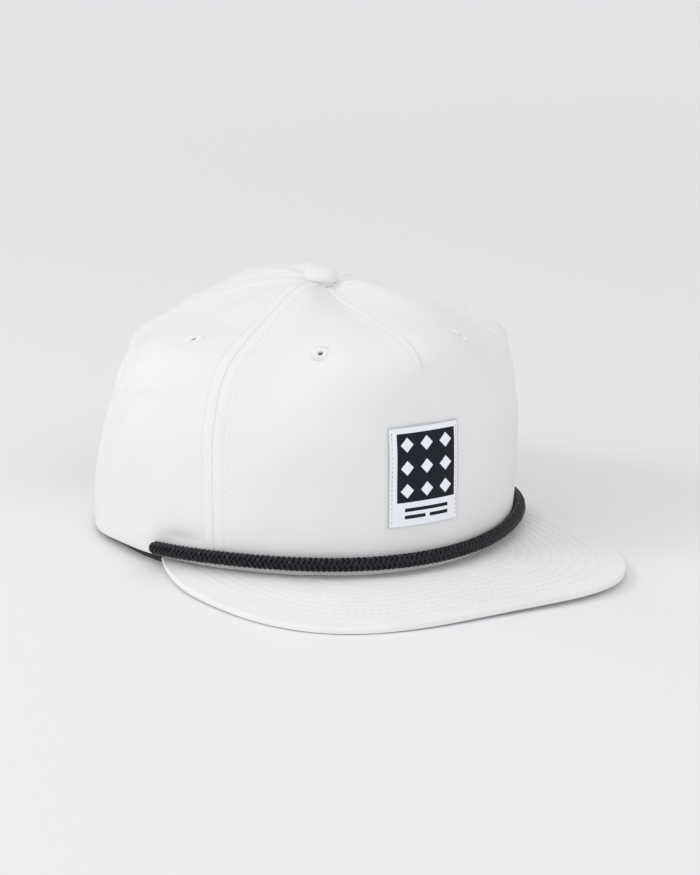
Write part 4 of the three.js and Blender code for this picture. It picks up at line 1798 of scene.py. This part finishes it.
@dataclass
class Sweatband:
    """The dark band inside the rim, which stands on the floor and shows as an edge below the crown."""

    shape: CapShape
    finishes: Wardrobe
    offset: float = 2.0
    thickness: float = 1.2
    top: float = 24.0
    end_angle: float = 146.0
    step_in: float = 3.4
    step_from: float = 124.0
    step_to: float = 133.0
    roll: float = 2.6
    columns: int = 260
    rows: int = 22
    under_crown: float = 0.22
    edge_round: float = 0.25
    stitch_share: float = 0.9

    def points(self, angle: Array, share: Array, depth: float) -> Array:
        """Points of the band, with share from 0 on the floor to 1 at its top edge.

        Args:
            angle: Degrees round the crown, with 0 in front.
            share: The share of the way up, 0 on the floor and 1 at the top edge.
            depth: Millimetres inside the outer face.

        Returns:
            Points in millimetres.
        """
        stepped = self.step_in * smoothstep(np.abs(angle), self.step_from, self.step_to)
        inset = self.offset + stepped + depth
        foot = self.shape.rim_height(angle)
        split = self.under_crown
        under = np.clip(share / split, 0, 1)
        rolled = inset + self.roll * (1 - under) ** 2
        low = np.concatenate([self.shape.rim_inset(angle, rolled),
                              (self.shape.floor + (foot - self.shape.floor) * under)[:, None]], axis=1)
        height = foot + (self.top - foot) * np.clip((share - split) / (1 - split), 0, 1)
        up = self.shape.up_at_height(angle, height)
        high = self.shape.point(angle, up) - self.shape.normal(angle, up) * inset[:, None]
        high[:, 2] = height
        return np.where((share < split)[:, None], low, high)

    def build(self) -> None:
        """Builds the band with a row of stitches near its top edge."""
        sheet = ClothSheet(self.columns, self.rows)
        angle = self.end_angle * (2 * sheet.column / self.columns - 1)
        share = sheet.row / self.rows
        outer = self.points(angle, share, 0.0)
        inner = self.points(angle, share, self.thickness)
        sheet.lay(self.shape, outer, (0, 0, 10))
        sheet.chart(angle / 180 * math.pi * self.shape.half_width / 10, outer[:, 2] / 10)
        sheet.close(self.shape.to_row(inner))
        sheet.round_edges(self.edge_round)
        add_piece("sweatband_cloth", sheet.done("sweatband"), self.finishes.band,
                  ("sweatband",))
        row = StitchRow(pitch=3.0, length=2.2, radius=0.17)
        turn = np.linspace(-self.end_angle + 2, self.end_angle - 2, 500)
        share = np.full_like(turn, self.stitch_share)
        path = self.points(turn, share, self.thickness)
        inward = unit(self.points(turn, share, self.thickness + 1) - path)
        row.sew("sweatband_stitches", self.shape, row.along(path, inward), self.finishes.dash)


@dataclass
class SnapStrap:
    """Two moulded strips that overlap at the middle of the back, one with holes and one with pegs."""

    shape: CapShape
    finishes: Wardrobe
    width: float = 19.0
    bottom: float = -3.6
    thickness: float = 1.2
    clearance: float = 0.36
    layer_gap: float = 0.4
    tip: float = 19.0
    corner: float = 4.0
    root_angle: float = 137.0
    beyond_root: float = 8.0
    bend_from: float = 44.0
    bend_to: float = 26.0
    pitch: float = 9.0
    pegs: int = 7
    first_peg: float = 13.5
    hole_radius: float = 2.45
    cell: float = 0.75
    edge_round: float = 0.22
    peg_edge_round: float = 0.25

    def path(self) -> tuple[Array, Array]:
        """The strap's line in plan from one sewn end to the other, and the run of its points.

        Returns:
            The points, and their distances from the first.
        """
        start = self.root_angle - self.beyond_root
        plan = self.shape.rim_inset(np.linspace(start, 360 - start, 800), self.shape.cloth + self.clearance)
        return plan, run_along(plan)

    def line(self, distance: Array, depth: Array) -> tuple[Array, Array]:
        """The strap's line behind the head, and the outward direction on it.

        Args:
            distance: Millimetres from the middle of the back, positive to the wearer's left.
            depth: Millimetres inside the line.

        Returns:
            Points without a height, and outward directions.
        """
        plan, run = self.path()
        at = run[-1] / 2 - np.asarray(distance, float)
        along = unit(points_at(at + 0.5, run, plan) - points_at(at - 0.5, run, plan))
        out = np.stack([along[..., 1], -along[..., 0]], axis=-1)
        return points_at(at, run, plan) - out * np.asarray(depth)[..., None], out

    def root(self) -> float:
        """How far from the middle of the back the strips are sewn in."""
        span = 360 - 2 * (self.root_angle - self.beyond_root)
        return float(self.path()[1][-1] * (0.5 - self.beyond_root / span))

    def peg_depth(self, distance: Array) -> Array:
        """How far the pegged strip lies inside the line, so that it passes under the other."""
        return (self.thickness + self.layer_gap) * smoothstep(distance, -self.bend_from, -self.bend_to)

    def places(self, side: Side) -> Array:
        """Distances of the holes or pegs along the line."""
        return -side.value * (self.first_peg - self.pitch * np.arange(self.pegs))

    def strip(self, side: Side, depth: Callable[[Array], Array]) -> ClothSheet:
        """One strip before its holes, with rounded corners at its tip.

        Args:
            side: The side that it is sewn to.
            depth: How far it lies inside the line.

        Returns:
            The strip as a sheet, open at its edges.
        """
        root = self.root()
        columns = round((root + self.tip) / self.cell)
        rows = round(self.width / self.cell)
        sheet = ClothSheet(columns, rows)
        distance = side.value * (root - (root + self.tip) * sheet.column / columns)
        to_tip = np.abs(distance + side.value * self.tip)
        bend = np.maximum(0, self.corner - to_tip)
        trim = self.corner - np.sqrt(np.maximum(0, self.corner**2 - bend**2))
        share = sheet.row / rows
        height = self.bottom + trim + (self.width - 2 * trim) * share
        spot, _ = self.line(distance, depth(distance))
        points = np.concatenate([spot, height[:, None]], axis=1)
        sheet.lay(self.shape, points, (0, 30, 5))
        sheet.chart(distance / 10, height / 10)
        return sheet

    def middle(self, distance: float, depth: float) -> tuple[Vector, Vector]:
        """A place on the strap's middle line, in metres, and the outward direction.

        Args:
            distance: Millimetres from the middle of the back.
            depth: Millimetres inside the line.

        Returns:
            The place and the direction.
        """
        spot, out = self.line(np.array(distance), np.array(depth))
        point = np.append(spot, self.bottom + self.width / 2)
        return Vector(self.shape.to_row(point)), Vector((*out, 0.0))

    def build(self) -> None:
        """Moulds the two strips."""
        outer = self.strip(Side.LEFT, lambda distance: np.zeros_like(distance))
        for distance in self.places(Side.LEFT):
            outer.punch(self.middle(distance, 0.0)[0], self.hole_radius, self.cell)
        outer.thicken(self.thickness)
        outer.round_edges(self.edge_round)
        add_piece("strap_holes_strip", outer.done("strap_holes"), self.finishes.plastic,
                  ("strap_holes",))
        inner = self.strip(Side.RIGHT, self.peg_depth)
        inner.thicken(self.thickness)
        inner.round_edges(self.peg_edge_round)
        layer = self.thickness + self.layer_gap
        profile = ((0, -0.6), (2.25, -0.6), (2.0, 0.1), (2.0, layer + 0.2), (2.35, layer + 0.4),
                   (2.4, layer + 0.75), (2.1, layer + 1.15), (1.5, layer + 1.3), (0, layer + 1.3))
        meshes = [inner.done("strap_pegs")]
        for distance in self.places(Side.RIGHT):
            centre, out = self.middle(distance, float(self.peg_depth(np.array(distance))))
            peg = turned(profile, 24)
            peg.transform(standing(centre, out))
            meshes.append(settled(peg, "peg"))
        add_piece("strap_pegs_strip", joined(*meshes), self.finishes.plastic,
                  ("strap_pegs",))


@dataclass
class Studio:
    """A pale floor, soft light from the left of the camera, and the photograph's camera."""

    shape: CapShape
    azimuth: float = 30.5
    elevation: float = 14.8
    distance: float = 1100.0
    aim_right: float = 20.85
    aim_up: float = 32.4
    lens: float = 100.92
    sensor: float = 36.0
    # The floor's three colours are painted light: lighter in front of the cap, darker just behind it, and
    # lighter again far behind.
    floor_front: Color = (0.868, 0.871, 0.878)
    floor_back: Color = (0.838, 0.841, 0.848)
    floor_far: Color = (0.9, 0.903, 0.91)
    floor_size: float = 9.0
    fine_floor: float = 0.3
    floor_cells: int = 180
    brim_gap: float = 0.3
    gap_growth: float = 2.0
    world_strength: float = 0.85
    sky_color: tuple[float, float, float, float] = (0.985, 0.99, 1.0, 1.0)
    sky_slope: float = 0.16
    sky_azimuth: float = -22.0
    sky_elevation: float = 6.0
    lamp_azimuth: float = -98.0
    lamp_elevation: float = 37.0
    lamp_distance: float = 1.9
    lamp_size: float = 0.5
    lamp_power: float = 7.0

    def rise(self, x: Array, y: Array) -> Array:
        """How far the paper rises under the bow of the brim, in millimetres.

        Args:
            x: Millimetres to the side, in the frame.
            y: Millimetres back, in the frame.

        Returns:
            Heights in millimetres.
        """
        brim = self.shape.brim
        ahead = self.shape.shift[1] + brim.corner_y - y
        arch = -self.shape.floor - brim.bow * (x / brim.half_width) ** 2
        gap = self.brim_gap + self.gap_growth * smoothstep(x, -70, 70)
        power = brim.exponent
        place = ((np.abs(x) / brim.half_width) ** power
                 + (np.maximum(ahead, 0) / brim.reach) ** power) ** (1 / power)
        return (np.maximum(arch - gap, 0) * (1 - smoothstep(place, 1.0, 1.7))
                * smoothstep(ahead, -10, 40))

    def build_floor(self) -> None:
        """Lays the floor, in a sheet that is finest under the cap and swells a little under the brim."""
        work = bmesh.new()
        bmesh.ops.create_grid(work, x_segments=self.floor_cells, y_segments=self.floor_cells, size=1.0)
        plan = np.array([vertex.co.xy[:] for vertex in work.verts])
        plan = self.fine_floor * plan + (self.floor_size - self.fine_floor) * plan**9
        height = self.rise(plan[:, 0] / MM, plan[:, 1] / MM) * MM
        for vertex, (x, y), z in zip(work.verts, plan, height):
            vertex.co = (x, y, z)
        for face in work.faces:
            face.smooth = True
        mesh = settled(work, "floor")
        recipe = Recipe("floor_paper")
        grain = recipe.noise(500, 3.0)
        x, y, _ = recipe.split(recipe.coordinates("Object"))
        turn = math.radians(self.azimuth)
        away = recipe.scaled(x, math.sin(turn), recipe.times(y, math.cos(turn)))
        # The floor's colour ramps from light in front to darker behind the cap and lighter far behind: a
        # painted pool of light.
        near = recipe.blend(recipe.ramp(away, -0.02, 0.09), (*self.floor_front, 1), (*self.floor_back, 1))
        color = recipe.blend(recipe.ramp(away, 0.5, 2.3), near, (*self.floor_far, 1))
        normal = recipe.bump(grain, 0.02, 0.3)
        mesh.materials.append(recipe.finish(color, normal, 0.7, Specular_IOR_Level=0.2))
        put("floor", mesh)

    def build_camera(self) -> None:
        """Places the camera at the photograph's angle and framing."""
        back = direction(-self.azimuth, self.elevation)
        turn = math.radians(self.azimuth)
        right = np.array([math.cos(turn), -math.sin(turn), 0.0])
        above = np.cross(back, right)
        spot = back * self.distance + right * self.aim_right + above * self.aim_up
        data = bpy.data.cameras.new("camera")
        data.lens, data.sensor_width = self.lens, self.sensor
        camera = put("camera", data)
        camera.location = Vector(self.shape.to_row(spot))
        camera.rotation_euler = (-Vector(back)).to_track_quat("-Z", "Y").to_euler()
        bpy.context.scene.camera = camera

    def build_lamp(self) -> None:
        """Hangs the one soft lamp, to the left of the brim."""
        data = bpy.data.lights.new("key", "AREA")
        data.shape, data.size, data.energy = "SQUARE", self.lamp_size, self.lamp_power
        way = Vector(direction(self.lamp_azimuth, self.lamp_elevation))
        lamp = put("key", data)
        lamp.location = way * self.lamp_distance
        lamp.rotation_euler = way.to_track_quat("Z", "Y").to_euler()
        lamp.visible_camera = False

    def build_sky(self) -> None:
        """Fills the room with even light, a little stronger from the front left."""
        world = bpy.data.worlds.new("studio")
        world.use_nodes = True
        nodes = NodeWriter(world.node_tree)
        feeds = {0: nodes.coordinates("Generated"), 1: direction(self.sky_azimuth, self.sky_elevation)}
        toward = nodes.node("ShaderNodeVectorMath", feeds, operation="DOT_PRODUCT").outputs["Value"]
        background = nodes.tree.nodes["Background"]
        nodes.feed(background.inputs["Color"], self.sky_color)
        nodes.feed(background.inputs["Strength"], nodes.scaled(toward, self.sky_slope, self.world_strength))
        bpy.context.scene.world = world

    def build(self) -> None:
        """Sets the stage."""
        self.build_camera()
        self.build_floor()
        self.build_lamp()
        self.build_sky()
        bpy.context.scene.view_settings.view_transform = "Standard"
        bpy.context.scene.view_settings.look = "None"


def main() -> None:
    """Builds the cap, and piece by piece."""
    logging.basicConfig(level=logging.INFO, format="%(name)s %(message)s")
    shape = CapShape()
    relief = ClothRelief(shape)
    finishes = Wardrobe()
    Studio(shape).build()
    Crown(shape, relief, finishes).build()
    Brim(shape, finishes).build()
    Rope(shape, relief, finishes).build()
    Label(shape, relief, finishes).build()
    Button(finishes).build()
    Sweatband(shape, finishes).build()
    SnapStrap(shape, finishes).build()


if __name__ == "__main__":
    main()
